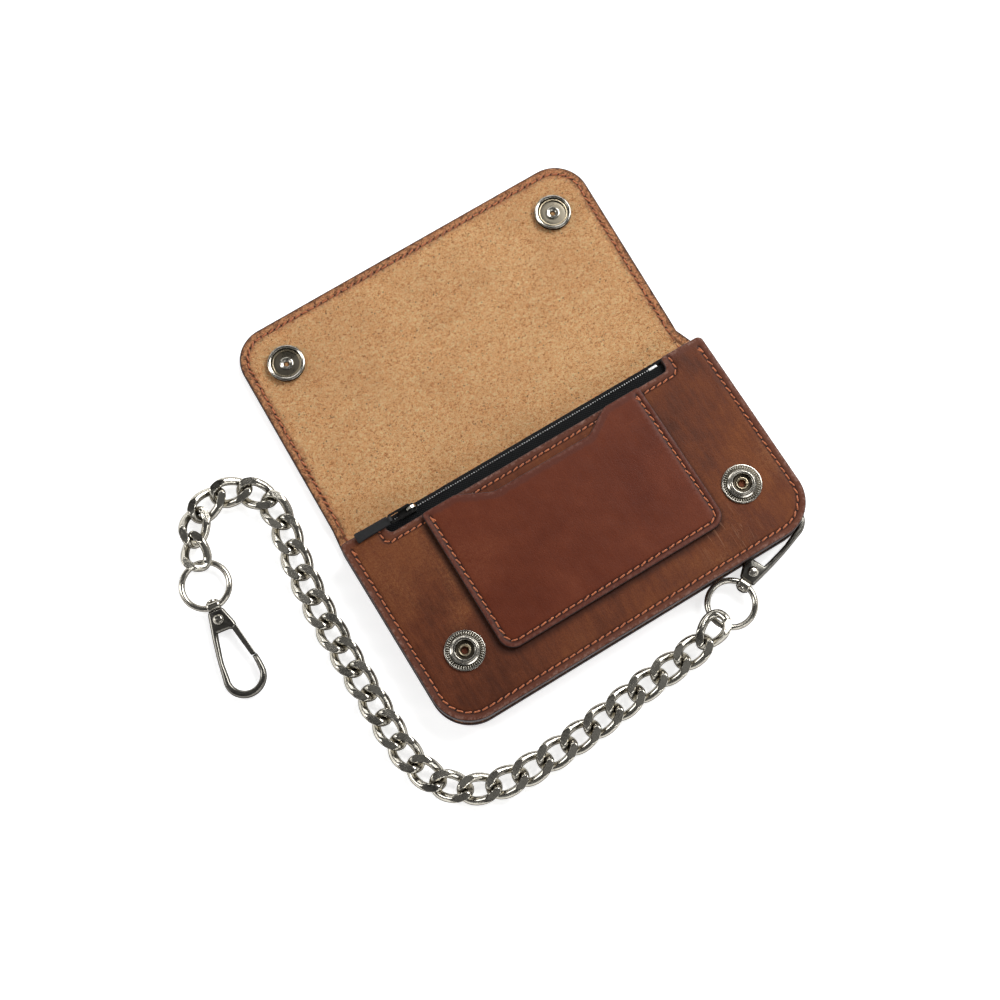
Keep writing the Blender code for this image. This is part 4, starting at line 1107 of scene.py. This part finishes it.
def hook_outline():
    """The casting seen flat: trapezoid plate with the gate's ears, and a tapering bar round the loop."""
    bar = [(8.6, -3.4), (11.5, -3.95), (14.5, -4.4), (17.5, -4.85), (20.5, -5.2)]
    bar += [(LOOP_U + LOOP_R * cos(t), LOOP_V + LOOP_R * sin(t))
        for t in np.radians(np.linspace(-100, 95, 40))]
    bar = np.array(bar + [(24.8, 8.35), (21.9, 7.85)])
    run = run_along(bar)
    half = np.interp(run, [0, 12, 24, 38, run[-1]], [1.25, 1.05, 1.5, 1.3, 1.05])
    normal = left_of(unit(np.gradient(bar, axis=0))) * half[:, None]
    outer, inner = bar - normal, bar + normal
    plate_side = rounded([(*inner[0], 0), (8.8, 2.6, 0.6), (9.6, 4.0, 1.0), (8.7, 5.7, 1.0),
        (6.8, 5.5, 1.0), (0.0, 3.1, 1.0), (0.0, -3.1, 1.0), (*outer[0], 0)], 0.3, False)
    return np.concatenate([outer, inner[::-1], plate_side[1:-1]])


def hook(number):
    """A swivel hook with its gate, ring and barrel, placed by its swivel's axis."""
    swivel = joints["swivel" + number]
    body, ring, gate = "hook" + number, "ring" + number, "gate" + number
    heading = atan2(swivel["axis"][1], swivel["axis"][0])
    m = at(*(np.array(swivel["pos_m"]) / MM)) @ Matrix.Rotation(heading, 4, "Z")
    along = m @ Matrix.Rotation(pi / 2, 4, "Y")
    across = m @ at(-1.75, 0, 0) @ Matrix.Rotation(pi / 2, 4, "X")
    casting = transform(cast_plate(hook_outline(), HOOK_HALF, 0.9), m)
    smooth_piece(body + "_casting", casting, HOOK_METAL, body, body + "_body")
    spun(body + "_shank", SHANK, 36, along, NICKEL, body)
    spun(body + "_rivet_dome", RIVET, 40, m @ at(4.2, 0, HOOK_HALF + 0.2), NICKEL, body, body + "_rivet")
    lever = transform(plate(GATE, 0.4 - HOOK_HALF, HOOK_HALF - 0.4), m)
    soft_piece(body + "_gate_lever", lever, HOOK_METAL, gate, body + "_gate", width=0.4, segments=3, angle=40)
    spun(body + "_gate_pin", GATE_PIN, 24, m @ at(8.0, 4.4, 0), NICKEL, gate)
    angles = np.linspace(RING_GAP, 2 * pi - RING_GAP, 90)
    ring_path = [(RING_R * cos(t) - 10.7, RING_R * sin(t), 0) for t in angles]
    ring_part = transform(sweep(ring_path, oval(RING_WIRE, RING_WIRE, 18), False), m)
    smooth_piece(body + "_swivel_ring", ring_part, NICKEL, ring, body + "_ring")
    # barrel across the ring's ends, where the shank passes
    spun(body + "_swivel_barrel", BARREL, 40, across, NICKEL, ring)


hook("1")
hook("2")
frame["nodes"]["corner_post"].data.materials.clear()
frame["nodes"]["corner_post"].data.materials.append(NICKEL)

# ---- floor, light
FLOOR_HALF, FLOOR_Z = 15, -0.0006
floor_mesh = bpy.data.meshes.new("floor")
floor_corners = [(x * FLOOR_HALF, y * FLOOR_HALF, FLOOR_Z) for x, y in ((-1, -1), (1, -1), (1, 1), (-1, 1))]
floor_mesh.from_pydata(floor_corners, [], [(0, 1, 2, 3)])
floor = bpy.data.objects.new("floor", floor_mesh)
SCENE.collection.objects.link(floor)
floor_mesh.materials.append(Shader("floor_paper").set(Base_Color=rgb(228, 228, 228), Roughness=0.9,
    Specular_IOR_Level=0.1, Emission_Color=(1, 1, 1, 1), Emission_Strength=0.66))

# a studio that is bright low down and dark overhead, broken into soft panels for the metal to reflect
world = bpy.data.worlds.new("studio")
SCENE.world = world
world.use_nodes = True
sky = Nodes(world.node_tree)
look = sky.node("ShaderNodeTexCoord", 0)
fade = sky.spread(sky.node("ShaderNodeSeparateXYZ", 2, Vector=look), 0.06, 0.42, 1.05, 0.10)
panels = sky.spread(sky.noise(look, 5.5, 1.0), 0.42, 0.60, 0.15, 2.3, "LINEAR")
background = world.node_tree.nodes["Background"]
background.inputs[0].default_value = (1.0, 1.0, 1.0, 1)
sky.put(sky.times(fade, panels), background.inputs[1])


def softbox(name, direction, distance, size, power):
    data = bpy.data.lights.new(name, "AREA")
    data.shape, data.size, data.size_y = "RECTANGLE", *size
    data.energy = power
    light = bpy.data.objects.new(name, data)
    SCENE.collection.objects.link(light)
    aim(light, direction, distance)


softbox("key", (0.95, 0.28, 0.95), 1.1, (0.7, 0.55), 12.5)
softbox("fill", (-1.0, 0.7, 0.9), 1.3, (0.35, 1.0), 4.5)
softbox("front_strip", (0.2, -1.0, 0.8), 1.3, (1.0, 0.25), 3)
softbox("back_strip", (0.1, 1.0, 0.5), 1.3, (1.1, 0.2), 2)
softbox("glint", (0.62, 0.55, 1.30), 1.4, (0.34, 0.2), 1.0)
SCENE.view_settings.view_transform = "Standard"
